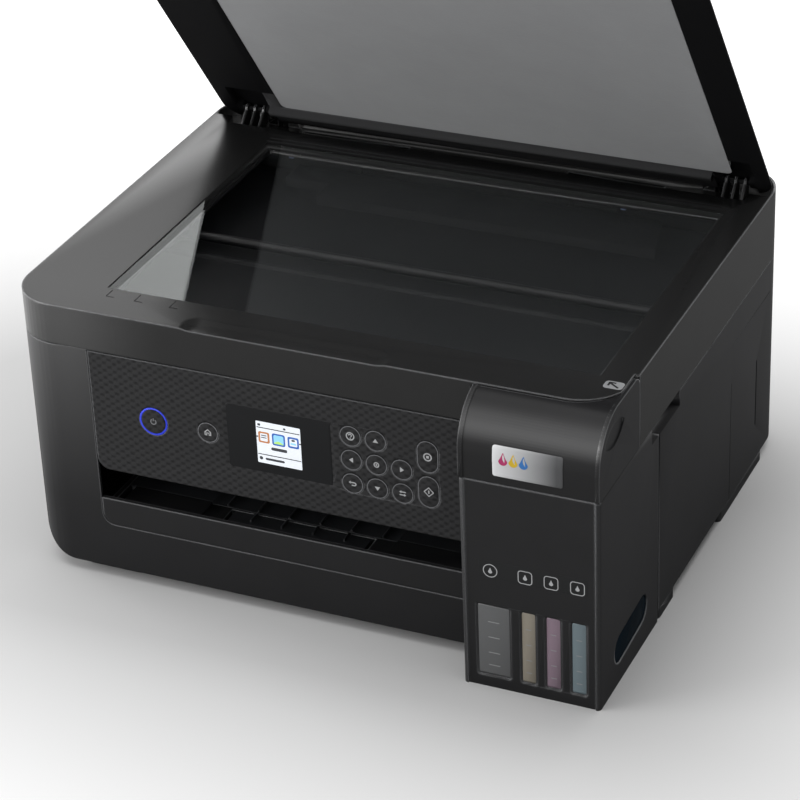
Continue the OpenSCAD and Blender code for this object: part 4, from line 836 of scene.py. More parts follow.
@dataclass
class Solid:
    """Vertices and faces of a closed mesh under construction, in millimetres."""

    points: np.ndarray
    faces: list[tuple[int, ...]]

    @staticmethod
    def rows(rows: np.ndarray, ring: bool = False) -> "Solid":
        """Joins rows of points into a tube whose rows are closed loops.

        Args:
            rows: Array of shape (rows, points, 3).
            ring: True where the last row meets the first, and False where both ends are capped.

        Returns:
            A closed solid.
        """
        count, width = rows.shape[:2]
        index = np.arange(count * width).reshape(count, width)
        lower, upper = (index, np.roll(index, -1, 0)) if ring else (index[:-1], index[1:])
        quads = np.stack([lower, np.roll(lower, -1, 1), np.roll(upper, -1, 1), upper], -1).reshape(-1, 4)
        faces = [tuple(q) for q in quads.tolist()]
        if not ring:
            faces += [tuple(index[0][::-1].tolist()), tuple(index[-1].tolist())]
        return Solid(rows.reshape(-1, 3), faces)

    @staticmethod
    def plate(outline: np.ndarray, low: float, high: float, ease: float = 0.0) -> "Solid":
        """Carries an outline from depth low to depth high, with its front edge eased by a small chamfer.

        The rows are the outline at low, at high less ease, and, drawn in towards its middle by
        ease, at high.

        Args:
            outline: Points (u, v), counter-clockwise.
            low: Depth of the back.
            high: Depth of the front.
            ease: Size of the chamfer.

        Returns:
            A closed solid in (u, v, depth).
        """
        middle = outline.mean(0)
        away = outline - middle
        length = np.linalg.norm(away, axis=1, keepdims=True)
        inner = middle + away * (1 - ease / np.maximum(length, 1e-9))
        levels = [(outline, low), (outline, high - ease)]
        if ease:
            levels.append((inner, high))
        return Solid.rows(np.stack([at(flat, depth) for flat, depth in levels]))

    @staticmethod
    def ribbon(path: np.ndarray, width: float, low: float, high: float, closed: bool = False) -> "Solid":
        """Carries a flat rectangular profile along a path.

        At each point the profile stands half the width to both sides, along the path's normal,
        which is its tangent (central difference) turned by a quarter.

        Args:
            path: Points (u, v).
            width: Width of the line.
            low: Depth of its back.
            high: Depth of its front.
            closed: Whether the path returns to its start.

        Returns:
            A closed solid in (u, v, depth).
        """
        if closed:
            along = np.roll(path, -1, 0) - np.roll(path, 1, 0)
        else:
            along = np.gradient(path, axis=0)
        along = along / np.linalg.norm(along, axis=1, keepdims=True)
        side = np.stack([-along[:, 1], along[:, 0]], 1) * width / 2
        left, right = path + side, path - side
        corners = ((left, low), (right, low), (right, high), (left, high))
        return Solid.rows(np.stack([at(flat, depth) for flat, depth in corners], 1), ring=closed)

    @staticmethod
    def join(parts: Sequence["Solid"]) -> "Solid":
        """Puts several closed solids into one mesh."""
        starts = np.cumsum([0] + [len(part.points) for part in parts])
        faces = [tuple(i + int(start) for i in face) for part, start in zip(parts, starts) for face in part.faces]
        return Solid(np.concatenate([part.points for part in parts]), faces)

    def put(
        self, name: str, look: Look, body: str, slot: str, placing: Placing, smooth: float = 0.0
    ) -> bpy.types.Object:
        """Makes the object and hands it to its body.

        Args:
            name: Name of the piece.
            look: Its finish.
            body: CAD body that it rides on.
            slot: Material slot of the record that it belongs to; not used.
            placing: Turns (u, v, depth) in millimetres into the printer's frame, in millimetres.
            smooth: Angle in degrees under which neighbouring faces are shaded as one; 0 for flat.

        Returns:
            The finished object.
        """
        mesh = bpy.data.meshes.new(name)
        mesh.from_pydata((placing(self.points) * MM).tolist(), [], self.faces)
        form = bmesh.new()
        form.from_mesh(mesh)
        bmesh.ops.recalc_face_normals(form, faces=form.faces)
        form.to_mesh(mesh)
        form.free()
        if smooth:
            soften(mesh, smooth)
        piece = show(name, mesh, look.value.material())
        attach(piece, body)
        log.info("%s: %d faces on %s", name, len(mesh.polygons), body)
        return piece


def on_front(face: float, centre: Pair = (0.0, 0.0)) -> Placing:
    """Places (u, v, depth) on an upright front face at Y = face: X = u, Z = v, and depth comes forward.

    Args:
        face: Y of the face.
        centre: X and Z of the point that u and v start from.

    Returns:
        A function that turns such points into (X, Y, Z).
    """

    def placing(points: np.ndarray) -> np.ndarray:
        """Maps the points."""
        return np.stack([points[:, 0] + centre[0], face - points[:, 2], points[:, 1] + centre[1]], 1)

    return placing


def on_deck(level: float, centre: Pair = (0.0, 0.0)) -> Placing:
    """Places (u, v, depth) on a level face at Z = level: X = u, Y = v, and depth goes up.

    Args:
        level: Z of the face.
        centre: X and Y of the point that u and v start from.

    Returns:
        A function that turns such points into (X, Y, Z).
    """

    def placing(points: np.ndarray) -> np.ndarray:
        """Maps the points."""
        return np.stack([points[:, 0] + centre[0], points[:, 1] + centre[1], level + points[:, 2]], 1)

    return placing


def span(node: str) -> tuple[np.ndarray, np.ndarray]:
    """Gives the lowest and highest corner of a CAD node, in millimetres."""
    low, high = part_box(node)
    return np.array(low) / MM, np.array(high) / MM


# ------------------------------------------------------------------ CAD nodes


@dataclass
class Mouldings:
    """Dresses the CAD nodes, and shows the ones with curved faces as smoothly shaded copies.

    A copy is the node's mesh with its loose triangles merged. Faces that meet at less than
    `blend_deg` are shaded as one surface, weighted so that the flat ones stay flat. Nodes that
    `looks` leaves out are keys.
    """

    nodes: dict[str, bpy.types.Object]
    slots: dict[str, str]
    blend_deg: float = 32.0
    merge_mm: float = 0.002
    looks: dict[Look, tuple[str, ...]] = field(
        default_factory=lambda: {
            Look.CASE: ("lower_case", "main_housing", "rear_cover", "tray_extension", "paper_support"),
            Look.PANEL: ("control_panel",),
            Look.LENS: ("display_lens",),
            Look.SCREEN: ("display",),
            Look.RING: ("power_ring",),
            Look.UNIT: ("tank_housing",),
            Look.COVER: ("tank_cover",),
            Look.WINDOW: ("side_window",),
            Look.INK_BLACK: ("black_tank",),
            Look.INK_YELLOW: ("yellow_tank",),
            Look.INK_MAGENTA: ("magenta_tank",),
            Look.INK_CYAN: ("cyan_tank",),
            Look.CAP_BLACK: ("black_cap",),
            Look.CAP_YELLOW: ("yellow_cap",),
            Look.CAP_MAGENTA: ("magenta_cap",),
            Look.CAP_CYAN: ("cyan_cap",),
            Look.INNER: (
                "ink_tubes", "feed_frame", "power_supply", "capping_station", "print_head", "left_guide", "right_guide"
            ),
            Look.INNER_BLACK: ("platen", "ac_inlet", "scan_head", "print_carriage"),
            Look.TRAY: ("output_tray", "tray_stopper"),
            Look.BOARD: ("main_board",),
            Look.STEEL: ("carriage_rail", "drive_motors", "feed_roller", "eject_roller"),
            Look.BRASS: ("motor_pinion",),
            Look.NYLON: ("idler_gear",),
            Look.RUBBER: ("carriage_belt", "pickup_roller"),
            Look.DECK: ("scanner_frame",),
            Look.SCAN_TRAY: ("scanner_base",),
            Look.GLASS: ("scan_glass",),
            Look.STEEL_DARK: ("scan_rail",),
            Look.LID: ("lid_shell",),
            Look.PAD: ("lid_pad",),
        }
    )

    def copy(self, node: str, look: Look) -> bpy.types.Object:
        """Shows a node as a merged, smoothly shaded copy of itself.

        Args:
            node: Name of the CAD node.
            look: Its finish.

        Returns:
            The copy, which stands for the node.
        """
        source = self.nodes[node]
        mesh = bpy.data.meshes.new(node + "_skin")
        form = bmesh.new()
        form.from_mesh(source.data)
        bmesh.ops.remove_doubles(form, verts=form.verts, dist=self.merge_mm * MM)
        form.to_mesh(mesh)
        form.free()
        soften(mesh, self.blend_deg)
        piece = show(node + "_skin", mesh, look.value.material())
        weigh = piece.modifiers.new("flats stay flat", "WEIGHTED_NORMAL")
        weigh.mode = "FACE_AREA"
        weigh.weight = 100
        weigh.keep_sharp = True
        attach(piece, source["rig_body"])
        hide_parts(node)
        return piece

    def dress(self, name: str, look: Look) -> None:
        """Puts the finish on a node as it is."""
        mesh = self.nodes[name].data
        mesh.materials.clear()
        mesh.materials.append(look.value.material())

    def build(self) -> None:
        """Dresses every node, and copies all but the pad, which has a piece of its own."""
        finish = {node: look for look, nodes in self.looks.items() for node in nodes}
        for node in self.nodes:
            look = finish.get(node, Look.KEY)
            self.dress(node, look)
            if look is not Look.PAD:
                self.copy(node, look)
            log.info("%s: %s", node, look.name)


# ------------------------------------------------------------------ control panel


class Sign(Enum):
    """Signs on the keys, drawn in a square from -1 to 1. Their meanings are common to all such panels."""

    POWER = "power"
    HOME = "home"
    HELP = "help"
    UP = "up"
    LEFT = "left"
    CHOOSE = "ok"
    RIGHT = "right"
    BACK = "back"
    DOWN = "down"
    SWAP = "swap"
    STOP = "stop"
    START = "start"

    def lines(self) -> tuple[list[tuple[np.ndarray, bool]], list[np.ndarray]]:
        """Draws the sign.

        Returns:
            The lines, each with whether it closes, and the filled outlines.
        """
        up = np.array([[0.0, 0.34], [-0.42, -0.26], [0.42, -0.26]])
        left = up @ np.array([[0.0, 1.0], [-1.0, 0.0]])
        tips = {Sign.UP: up, Sign.LEFT: left, Sign.DOWN: -up, Sign.RIGHT: -left}
        if self in tips:
            return [], [tips[self] * 1.5]
        if self is Sign.POWER:
            return [(arc(0.62, 125, 415, 28), False), (np.array([[0.0, 0.2], [0.0, 0.85]]), False)], []
        if self is Sign.HOME:
            walls = np.array([[-0.28, -0.62], [-0.66, -0.62], [-0.66, 0.1], [0.0, 0.72], [0.66, 0.1], [0.66, -0.62]])
            door = np.array([[0.28, -0.62], [0.28, -0.1], [-0.28, -0.1], [-0.28, -0.62]])
            return [(np.concatenate([walls, door]), True)], []
        if self is Sign.HELP:
            hook = arc(0.3, 180, -60, 14, (0.0, 0.18))
            return [(circle(0.85, 32), True), (hook, False)], [circle(0.14, 12, (0.04, -0.42))]
        if self is Sign.CHOOSE:
            return [(circle(0.52, 28), True)], [circle(0.2, 16)]
        if self is Sign.BACK:
            bend = arc(0.34, 90, -90, 12, (0.42, -0.1))
            run = np.concatenate([np.array([[-0.5, 0.24], [0.2, 0.24]]), bend, np.array([[-0.2, -0.44]])])
            return [(run, False)], [left * 0.8 + np.array([-0.6, 0.24])]
        if self is Sign.SWAP:
            upper = np.array([[-0.3, 0.36], [0.72, 0.36]])
            lower = np.array([[-0.72, -0.36], [0.3, -0.36]])
            heads = [left * 0.8 + np.array([-0.5, 0.36]), -left * 0.8 + np.array([0.5, -0.36])]
            return [(upper, False), (lower, False)], heads
        if self is Sign.STOP:
            square = np.array([[-1, -1], [1, -1], [1, 1], [-1, 1]], float)
            return [(circle(0.72, 32), True)], [square * 0.26]
        diamond = np.array([[0.0, -0.9], [0.9, 0.0], [0.0, 0.9], [-0.9, 0.0]])
        return [(diamond, True), (np.array([[0.0, -0.34], [0.0, 0.34]]), False)], []


@dataclass
class ControlPanel:
    """Fascia with twelve keys, a lit ring and a colour screen.

    Fields:
        key_mm: Width of a key.
        long_mm: Height of the two long keys.
        line_mm: Width of the printed outlines.
        gap_mm: Distance from an outline to the key's edge.
        sign_mm: Half the size of a sign.
        long_sign: Factor by which the long keys' signs are larger.
        stroke: Width of a sign's lines, as a share of sign_mm.
        sunk_mm: Depth to which the print reaches into its key.
        proud_mm: Height of the print over its key.
        screen_mm: Width and height of the picture.
        sill_mm: Height of the picture over the screen's lower edge.
    """

    key_mm: float = 12.9
    long_mm: float = 20.2
    line_mm: float = 0.42
    gap_mm: float = 0.05
    sign_mm: float = 2.7
    long_sign: float = 1.15
    stroke: float = 0.24
    sunk_mm: float = 0.1
    proud_mm: float = 0.04
    screen_mm: Pair = (27.8, 27.2)
    sill_mm: float = 4.0

    def key(self, sign: Sign) -> None:
        """Draws the printed outline and the sign on one key.

        Args:
            sign: Sign of the key.
        """
        node = sign.value + "_key"
        low, high = span(node)
        centre = ((low[0] + high[0]) / 2, (low[2] + high[2]) / 2)
        face = on_front(low[1], centre)
        body = "button_" + sign.value
        depths = (-self.sunk_mm, self.proud_mm)
        inset = self.line_mm / 2 + self.gap_mm
        long_key = sign in (Sign.STOP, Sign.START)
        if long_key:
            outline = soft_box(self.key_mm - 2 * inset, self.long_mm - 2 * inset, self.key_mm / 2 - inset, 18)
        else:
            outline = circle(self.key_mm / 2 - inset, 64)
        if sign is not Sign.POWER:
            ring = Solid.ribbon(outline, self.line_mm, *depths, closed=True)
            ring.put(sign.value + "_outline", Look.PRINT_DIM, body, "keys", face)
        size = self.sign_mm * (self.long_sign if long_key else 1.0)
        lines, fills = sign.lines()
        parts = [Solid.ribbon(path * size, self.stroke * size, *depths, closed) for path, closed in lines]
        parts += [Solid.plate(fill * size, *depths) for fill in fills]
        look = Look.PRINT_DIM if sign is Sign.POWER else Look.PRINT
        Solid.join(parts).put(sign.value + "_sign", look, body, "keys", face)

    def picture(self) -> None:
        """Draws the lit picture: a bright ground, a row of three framed tiles and two thin bars."""
        low, high = span("display")
        lens, _ = span("display_lens")
        wide, tall = self.screen_mm
        centre = ((low[0] + high[0]) / 2, low[2] + self.sill_mm + tall / 2)
        face = on_front(lens[1], centre)

        def tile(u: float, v: float, width: float, height: float, radius: float, top: float) -> Solid:
            """Gives one flat rounded tile of the picture."""
            return Solid.plate(soft_box(width, height, radius, 5) + np.array([u, v]), -0.1, top)

        def paint(name: str, look: Look, *tiles: Solid) -> None:
            """Lays tiles of one colour on the screen as one piece."""
            Solid.join(tiles).put("screen_" + name, look, "printer", "screen", face)

        paint("ground", Look.SCREEN, Solid.plate(soft_box(wide, tall, 0.5, 4), -0.2, 0.02))
        paint("tiles_blue", Look.SCREEN_BLUE, tile(0.0, 3.4, 8.2, 7.8, 1.3, 0.03), tile(9.2, 3.4, 7.0, 7.2, 1.1, 0.03))
        paint("tile_tan", Look.SCREEN_TAN, tile(-9.2, 3.4, 7.0, 7.2, 1.1, 0.03))
        paint(
            "tile_grounds", Look.SCREEN, tile(-9.2, 3.4, 4.6, 5.0, 0.6, 0.04), tile(9.2, 3.4, 4.8, 4.8, 0.6, 0.04)
        )
        paint("tile_sky", Look.SCREEN_SKY, tile(0.0, 3.4, 6.2, 5.8, 0.8, 0.04), tile(9.2, 2.6, 3.6, 1.2, 0.5, 0.05))
        hill = np.stack([np.linspace(-3.0, 3.0, 16), 0.9 + 1.5 * np.cos(np.linspace(-1.4, 1.6, 16))], 1)
        hill = np.concatenate([hill, np.array([[3.0, 0.6], [-3.0, 0.6]])])[::-1]
        paint("hill", Look.SCREEN_GREEN, Solid.plate(hill, -0.1, 0.05))
        grey = [
            tile(-9.2, 4.6, 3.4, 0.6, 0.2, 0.05),
            tile(-9.2, 3.2, 3.4, 0.6, 0.2, 0.05),
            tile(9.2, 4.8, 2.2, 1.2, 0.5, 0.05),
            tile(0.0, -3.2, 10.0, 2.0, 0.9, 0.03),
            tile(-13.4, 3.4, 1.0, 1.0, 0.45, 0.03),
            tile(13.4, 3.4, 1.0, 1.0, 0.45, 0.03),
            tile(0.0, 9.6, 27.0, 0.6, 0.2, 0.03),
            tile(0.0, -7.9, 27.0, 0.6, 0.2, 0.03),
            tile(-11.9, 11.4, 1.8, 1.5, 0.6, 0.03),
            tile(4.0, 11.3, 1.5, 1.3, 0.3, 0.03),
            tile(-11.7, -10.5, 2.2, 2.2, 1.0, 0.03),
            tile(-3.0, -10.6, 12.0, 1.5, 0.7, 0.03),
        ]
        paint("bars", Look.SCREEN_GREY, *grey)

    def build(self) -> None:
        """Draws every key and the picture."""
        for sign in Sign:
            self.key(sign)
        self.picture()


# ------------------------------------------------------------------ tank unit


@dataclass
class TankUnit:
    """Ink tanks behind windows at the front, under a flip cover with a rounded front.

    Fields:
        round_mm: Radius of the cover's front.
        rim_mm: Depth by which label and windows lie behind the rim.
        badge_mm: X and Z of the badge's lower left and upper right corner.
        strip_mm: The same of the label film.
        windows_mm: X of each window's left and right side.
        window_z_mm: Z of the windows' lower and upper side.
        ticks: Places of the level ticks, as shares of the windows' height.
        mark_x_mm: X of the marks on the label.
        mark_z_mm: Z of the marks.
        mark_mm: Width of a mark.
        drop_mm: Radius of the badge's drops, and the distance from one to the next.
    """

    round_mm: float = 30.0
    rim_mm: float = 0.8
    badge_mm: tuple[float, float, float, float] = (126.2, 139.5, 166.5, 158.1)
    strip_mm: tuple[float, float, float, float] = (116.5, 73.0, 180.0, 84.0)
    windows_mm: tuple[tuple[float, float], ...] = ((114.9, 133.8), (141.0, 149.2), (155.6, 163.9), (170.6, 179.0))
    window_z_mm: Pair = (8.0, 54.5)
    ticks: tuple[float, ...] = (0.14, 0.32, 0.54, 0.76)
    mark_x_mm: tuple[float, ...] = (123.3, 143.8, 159.0, 174.3)
    mark_z_mm: float = 77.7
    mark_mm: float = 8.6
    drop_mm: Pair = (2.6, 5.9)

    @staticmethod
    def drop(radius: float) -> np.ndarray:
        """Gives the outline of a drop: a circle whose upper half is drawn up to a point.

        Args:
            radius: Radius of the circle.

        Returns:
            The points of the outline.
        """
        round_ = circle(1.0, 28)
        lift = np.clip(round_[:, 1], 0, None)
        return radius * np.stack([round_[:, 0] * (1 - 0.69 * lift), round_[:, 1] + 0.94 * lift**2], 1)

    def badge(self) -> None:
        """Makes the badge plate, with three plain drops on it, that follows the cover's rounded front.

        Up to the start of the round the plate is upright; above it, each point at height h lies
        on a circle about the cover's centre line, so its reach is the radius times (cos, sin) of
        the arc length over the radius.
        """
        low, high = span("tank_cover")
        x0, z0, x1, z1 = self.badge_mm
        radius = self.round_mm - self.rim_mm
        centre_y, centre_z = low[1] + self.round_mm, high[2] - self.round_mm

        def placing(points: np.ndarray) -> np.ndarray:
            """Bends (u, v, depth) round the cover's front.

            Args:
                points: Points (u, v, depth).

            Returns:
                The same points as (X, Y, Z).
            """
            rise = points[:, 1]
            turn = np.clip(rise - centre_z, 0, None) / radius
            reach = radius + points[:, 2]
            y = centre_y - reach * np.cos(turn)
            z = np.where(rise < centre_z, rise, centre_z + reach * np.sin(turn))
            return np.stack([points[:, 0], y, z], 1)

        # Arc length that lifts the plate's upper edge to its height
        top = centre_z + radius * math.asin((z1 - centre_z) / radius)
        half = np.array([(x1 - x0) / 2, (top - z0) / 2])
        edge = dense(soft_box(x1 - x0, top - z0, 1.3, 10), 0.6)
        rows = [at(edge, -0.3), at(edge, 0.3)]
        rows += [at(edge / half * share * (half - 0.15), 0.38) for share in np.linspace(0, 1, 9)[:0:-1]]
        rows = np.stack(rows) + np.array([(x0 + x1) / 2, (z0 + top) / 2, 0.0])
        Solid.rows(rows).put("badge_plate", Look.BADGE, "filler_cover", "case", placing, 40)
        height = (z0 + top) / 2 + 0.6
        inks = {"magenta": Look.DROP_MAGENTA, "yellow": Look.DROP_YELLOW, "blue": Look.DROP_BLUE}
        size, pitch = self.drop_mm
        for i, (ink, look) in enumerate(inks.items()):
            drop = self.drop(size) + np.array([x0 + 6.2 + pitch * i, height])
            Solid.plate(drop, 0.2, 0.46).put("badge_drop_" + ink, look, "filler_cover", "case", placing)

    def strip(self) -> None:
        """Puts the label film under the cover, with a printed ring and three rounded squares on it."""
        low, _ = span("tank_housing")
        face = on_front(low[1] + self.rim_mm)
        x0, z0, x1, z1 = self.strip_mm
        film = soft_box(x1 - x0, z1 - z0, 1.0, 5) + np.array([(x0 + x1) / 2, (z0 + z1) / 2])
        Solid.plate(film, -0.1, 0.08, 0.03).put("label_film", Look.LABEL, "printer", "case", face)
        parts = []
        size = self.mark_mm
        for i, x in enumerate(self.mark_x_mm):
            outline = circle(size / 2 - 0.3, 40) if i == 0 else soft_box(size - 0.6, size - 0.6, 1.8, 8)
            parts.append(Solid.ribbon(outline + np.array([x, self.mark_z_mm]), 0.5, -0.1, 0.12, True))
            parts.append(Solid.plate(self.drop(1.25) + np.array([x, self.mark_z_mm - 0.5]), -0.1, 0.12))
        Solid.join(parts).put("label_marks", Look.PRINT, "printer", "case", face)

    def windows(self) -> None:
        """Puts the level ticks on the ink windows."""
        low, _ = span("tank_housing")
        face = on_front(low[1] + self.rim_mm)
        ticks = []
        bottom, top = self.window_z_mm
        for x0, x1 in self.windows_mm:
            middle, reach = (x0 + x1) / 2, 0.16 * (x1 - x0) + 0.3
            for share in self.ticks:
                z = bottom + share * (top - bottom)
                path = np.array([[middle - reach, z], [middle + reach, z]])
                ticks.append(Solid.ribbon(path, 0.5, -0.9, -0.52))
        Solid.join(ticks).put("window_ticks", Look.TICK, "printer", "case", face)

    def build(self) -> None:
        """Makes every piece of the tank unit."""
        self.badge()
        self.strip()
        self.windows()


# ------------------------------------------------------------------ scanner and lid


@dataclass
class Scanner:
    """Marks on the deck round the glass, and the cable clips behind it.

    Fields:
        arrow_mm: X and Y of the corner arrow.
        ticks_mm: X of the page-size brackets.
        clips_mm: X of the clips.
        trough_mm: Height of the trough that the clips stand in.
        clip_back_mm: Distance from the clips to the deck's rear.
    """

    arrow_mm: Pair = (178.0, -125.5)
    ticks_mm: tuple[float, ...] = (-130.6, -112.3, -89.7)
    clips_mm: tuple[float, ...] = (-123.0, 101.0)
    trough_mm: float = 166.9
    clip_back_mm: float = 52.5

    def build(self) -> None:
        """Prints the corner arrow and the page-size brackets, and adds the clips."""
        glass_low, _ = span("scan_glass")
        _, cover_high = span("tank_cover")
        level = cover_high[2]
        deck = on_deck(level, self.arrow_mm)
        patch = Solid.plate(soft_box(11.0, 8.0, 2.2, 8), -0.1, 0.04)
        patch.put("corner_patch", Look.PRINT_SILVER, "scanner_unit", "deck", deck)
        # An arrow that points to the corner of the glass
        stem = np.array([[3.2, -2.4], [-2.2, 1.4]])
        head = [np.array([[-3.4, 2.3], [0.6, 2.3]]), np.array([[-3.0, 2.6], [-3.0, -1.2]])]
        arrow = [Solid.ribbon(line, 1.2, -0.1, 0.07) for line in (stem, *head)]
        Solid.join(arrow).put("corner_arrow", Look.PRINT_DARK, "scanner_unit", "deck", deck)
        front = glass_low[1]
        lines = []
        for x in self.ticks_mm:
            path = np.array([[x, front - 2.0], [x, front - 10.0], [x + 5.0, front - 10.0]])
            lines += [Solid.ribbon(path[:2], 0.6, -0.1, 0.04), Solid.ribbon(path[1:], 0.6, -0.1, 0.04)]
        Solid.join(lines).put("size_brackets", Look.PRINT_DARK, "scanner_unit", "deck", on_deck(level))
        self.clips(span("scanner_frame")[1][1])

    def clips(self, rear: float) -> None:
        """Puts the two pale blue cable clips into the trough behind the deck.

        Args:
            rear: Y of the deck's rear.
        """
        clips = []
        for x in self.clips_mm:
            foot = dense(soft_box(3.4, 3.0, 0.8, 4), 0.6) + np.array([x, 0.0])
            clips.append(Solid.plate(foot, 0.0, 7.8, 0.4))
        place = on_deck(self.trough_mm, (0.0, rear - self.clip_back_mm))
        Solid.join(clips).put("cable_clips", Look.CLIP, "scanner_unit", "deck", place)


@dataclass
class Lid:
    """Raised scanner lid with its padded inner face.

    Fields:
        joints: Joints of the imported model.
        crown_mm: Height of the pad's crown.
        edge_mm: Radius of the pad's round edge.
        corner_mm: Radius of the pad's corners.
    """

    joints: list[dict]
    crown_mm: float = 0.5
    edge_mm: float = 1.6
    corner_mm: float = 4.0

    def opening(self) -> tuple[float, np.ndarray]:
        """Gives the angle that the lid stands open by, in radians, and its hinge line's (Y, Z) in mm."""
        joint = next(j for j in self.joints if j["name"] == "lid_hinge")
        return math.radians(joint["range_deg"][1]), np.array(joint["pos_m"][1:]) / MM

    def turn(self, points: np.ndarray, way: float) -> np.ndarray:
        """Turns points about the hinge by way times the opening.

        Args:
            points: Points (X, Y, Z).
            way: -1 to open and 1 to close.

        Returns:
            The turned points.
        """
        angle, hinge = self.opening()
        c, s = math.cos(angle * way), math.sin(angle * way)
        y, z = points[:, 1] - hinge[0], points[:, 2] - hinge[1]
        return np.stack([points[:, 0], hinge[0] + y * c - z * s, hinge[1] + y * s + z * c], 1)

    def build(self) -> None:
        """Makes the foam pad: a flat cushion with round edges and a slight crown.

        Its rows are closed outlines: from the middle of the back, out over the round edge and in
        to the middle of the front, which drops back towards its edges by the crown times the
        fourth power of the way out.
        """
        node = bpy.data.objects["lid_pad"]
        points = np.array([v.co for v in node.data.vertices]) / MM
        closed = self.turn(points, 1.0)
        low, high = closed.min(0), closed.max(0)
        size, middle = high - low, (high + low) / 2
        outline = soft_box(size[0], size[1], self.corner_mm, 10)
        reach = np.array([size[0] / 2, size[1] / 2])
        # Each row is the outline, drawn in by an inset and then by a share, at a height
        radius, crown = self.edge_mm, self.crown_mm
        levels = [(radius, share, high[2]) for share in np.linspace(0.02, 1, 8)]
        insets = [radius * (1 - np.sin(angle)) for angle in np.linspace(0, np.pi / 2, 5)]
        levels += [(inset, 1.0, low[2] + crown + inset) for inset in insets]
        levels += [(radius, share, low[2] + crown * share**4) for share in np.linspace(1, 0.02, 24)]
        rows = [at(outline * (1 - inset / reach) * share, depth) for inset, share, depth in levels]
        stack = np.stack(rows) + np.array([middle[0], middle[1], 0.0])
        pad = Solid.rows(stack).put("lid_foam_pad", Look.PAD, "lid", "pad", lambda p: self.turn(p, -1.0), 60)
        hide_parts("lid_pad")


# ------------------------------------------------------------------ stage


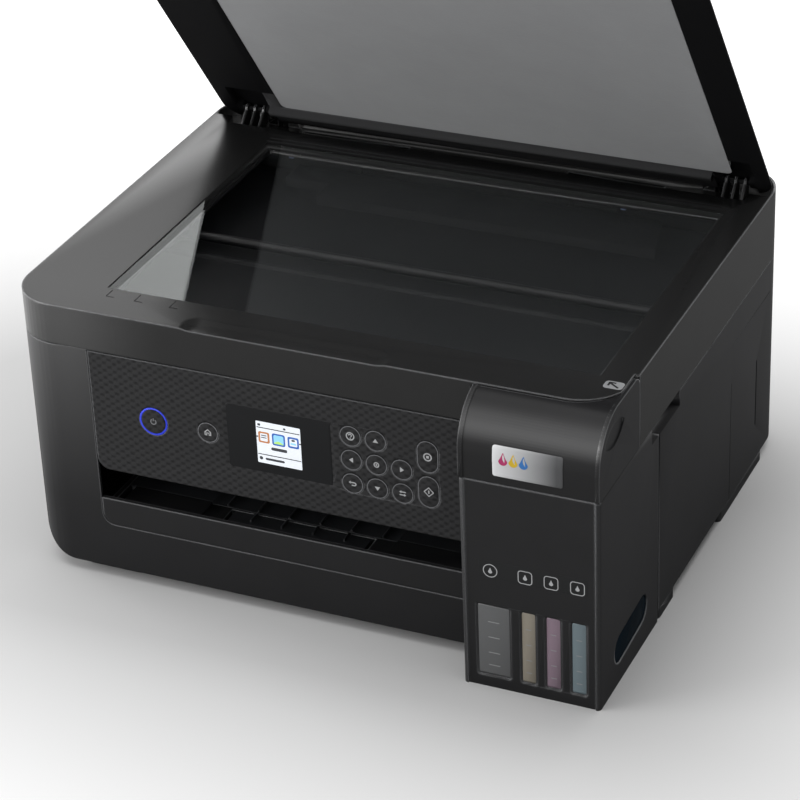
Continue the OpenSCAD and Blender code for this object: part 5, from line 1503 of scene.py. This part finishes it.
@dataclass
class Stage:
    """Pale floor, soft studio light and the camera.

    Fields:
        place_m: Place of the camera.
        right, down, ahead: The camera's directions.
        lens_mm: Its focal length.
        sensor_mm: Width of its sensor.
        floor_m: Half the width of the floor.
        stand_m, stand_half_m: Middle and half size of the floor's part that keeps the shadow.
        fade_m: Distance from there at which the floor begins to turn to white, and has done so.
        glow: Light of the white floor.
        room: Strength of the room's light.
        backdrop: Strength at which the room is seen directly, in mirrors and through glass.
    """

    place_m: tuple[float, float, float] = (0.647197, -1.403102, 0.952600)
    right: tuple[float, float, float] = (0.91450721, 0.40283532, -0.03742014)
    down: tuple[float, float, float] = (0.17068617, -0.46803162, -0.86707129)
    ahead: tuple[float, float, float] = (-0.36680076, 0.78655585, -0.49677671)
    lens_mm: float = 131.24
    sensor_mm: float = 36.0
    floor_m: float = 9.0
    stand_m: tuple[float, float, float] = (-0.07, -0.06, 0.0)
    stand_half_m: tuple[float, float, float] = (0.24, 0.115, 1.0)
    fade_m: Pair = (0.02, 0.52)
    glow: float = 0.9
    room: float = 0.28
    backdrop: float = 2.35

    @staticmethod
    def stand(piece: bpy.types.Object, *columns: np.ndarray) -> None:
        """Places a piece by its X, Y and Z directions and its place."""
        matrix = np.eye(4)
        matrix[:3, :] = np.stack(columns, 1)
        piece.matrix_world = Matrix(matrix.tolist())

    def camera(self) -> None:
        """Places the camera: its columns are right, up and backwards."""
        data = bpy.data.cameras.new("camera")
        data.lens = self.lens_mm
        data.sensor_width = self.sensor_mm
        data.clip_end = 100.0
        camera = show("camera", data)
        self.stand(camera, np.array(self.right), -np.array(self.down), -np.array(self.ahead), np.array(self.place_m))
        bpy.context.scene.camera = camera

    def seen(self, tree: Tree) -> Socket:
        """Gives 1 for rays that show a surface directly, in a mirror or through glass, and else 0.

        Args:
            tree: Node tree to work in.

        Returns:
            The 1 or 0.
        """
        ray = add(tree, "LightPath").outputs
        seen = ray["Is Camera Ray"]
        for kind in ("Is Glossy Ray", "Is Transmission Ray"):
            seen = add(tree, "Math", {0: seen, 1: ray[kind]}, operation="MAXIMUM").outputs["Value"]
        return seen

    def floor(self) -> None:
        """Makes a pale floor that keeps the shadow and turns to white away from the object."""
        half = self.floor_m
        steps = np.linspace(-half, half, 9)
        x, y = np.meshgrid(steps, steps, indexing="ij")
        points = np.stack([x.ravel(), y.ravel(), np.zeros(x.size)], 1)
        index = np.arange(x.size).reshape(x.shape)
        quads = np.stack([index[:-1, :-1], index[1:, :-1], index[1:, 1:], index[:-1, 1:]], -1).reshape(-1, 4)
        mesh = bpy.data.meshes.new("floor")
        mesh.from_pydata(points.tolist(), [], quads.tolist())
        material = blank("paper_sweep_white")
        tree = material.node_tree
        matt = add(tree, "BsdfDiffuse", {"Color": linear("#cccccc")})
        # Distance from the rectangle that keeps the shadow, which lies a little to the front left
        away = add(tree, "TexCoord").outputs["Object"]
        for step, other in (
            ("SUBTRACT", {1: self.stand_m}),
            ("ABSOLUTE", {}),
            ("SUBTRACT", {1: self.stand_half_m}),
            ("MAXIMUM", {1: (0.0, 0.0, 0.0)}),
        ):
            away = add(tree, "VectorMath", {0: away, **other}, operation=step).outputs[0]
        length = add(tree, "VectorMath", {0: away}, operation="LENGTH").outputs["Value"]
        ends = {"From Min": self.fade_m[0], "From Max": self.fade_m[1], "To Max": self.glow}
        fade = add(tree, "MapRange", {"Value": length, **ends}).outputs["Result"]
        strength = add(tree, "Math", {0: fade, 1: self.seen(tree)}, operation="MULTIPLY").outputs["Value"]
        glow = add(tree, "Emission", {"Strength": strength, "Color": WHITE})
        both = add(tree, "AddShader", {0: matt.outputs[0], 1: glow.outputs[0]})
        add(tree, "OutputMaterial", {"Surface": both.outputs[0]})
        sweep = show("floor", mesh, material)

    def lamp(self, name: str, place: tuple[float, float, float], size: Pair, watts: float) -> None:
        """Hangs one soft box that points at the object.

        Args:
            name: Name of the lamp.
            place: Its place, in metres.
            size: Its width and height, in metres.
            watts: Its power.
        """
        data = bpy.data.lights.new(name, "AREA")
        data.shape = "RECTANGLE"
        data.size, data.size_y = size
        data.energy = watts
        aim = np.array([0.0, 0.0, 0.12]) - np.array(place)
        aim = aim / np.linalg.norm(aim)
        side = np.cross(aim, [0.0, 0.0, 1.0])
        side = side / np.linalg.norm(side)
        self.stand(show(name, data), side, np.cross(side, aim), -aim, np.array(place))

    def light(self) -> None:
        """Sets the even room light and the soft boxes."""
        world = bpy.data.worlds.new("studio")
        bpy.context.scene.world = world
        world.use_nodes = True
        tree = world.node_tree
        tree.nodes.clear()
        level = add(tree, "MapRange", {"Value": self.seen(tree), "To Min": self.room, "To Max": self.backdrop})
        room = add(tree, "Background", {"Strength": level.outputs["Result"], "Color": WHITE})
        add(tree, "OutputWorld", {"Surface": room.outputs["Background"]})
        self.lamp("overhead", (-0.1, 0.15, 1.9), (2.6, 2.2), 35.0)
        self.lamp("left_box", (-1.0, -0.85, 0.45), (0.7, 0.6), 9.0)
        self.lamp("left_strip", (-1.3, 0.15, 0.35), (0.4, 1.2), 4.0)

    def build(self) -> None:
        """Builds the whole stage."""
        self.camera()
        self.floor()
        self.light()
        bpy.context.scene.view_settings.view_transform = "Standard"


def main() -> None:
    """Builds every sub-assembly in order."""
    logging.basicConfig(level=logging.INFO, format="%(message)s")
    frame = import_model()
    slots = {part["node"]: part["material_slot"] for part in frame["record"]["subparts"]}
    Stage().build()
    Mouldings(frame["nodes"], slots).build()
    ControlPanel().build()
    TankUnit().build()
    Scanner().build()
    Lid(frame["joints"]).build()


if __name__ == "__main__":
    main()
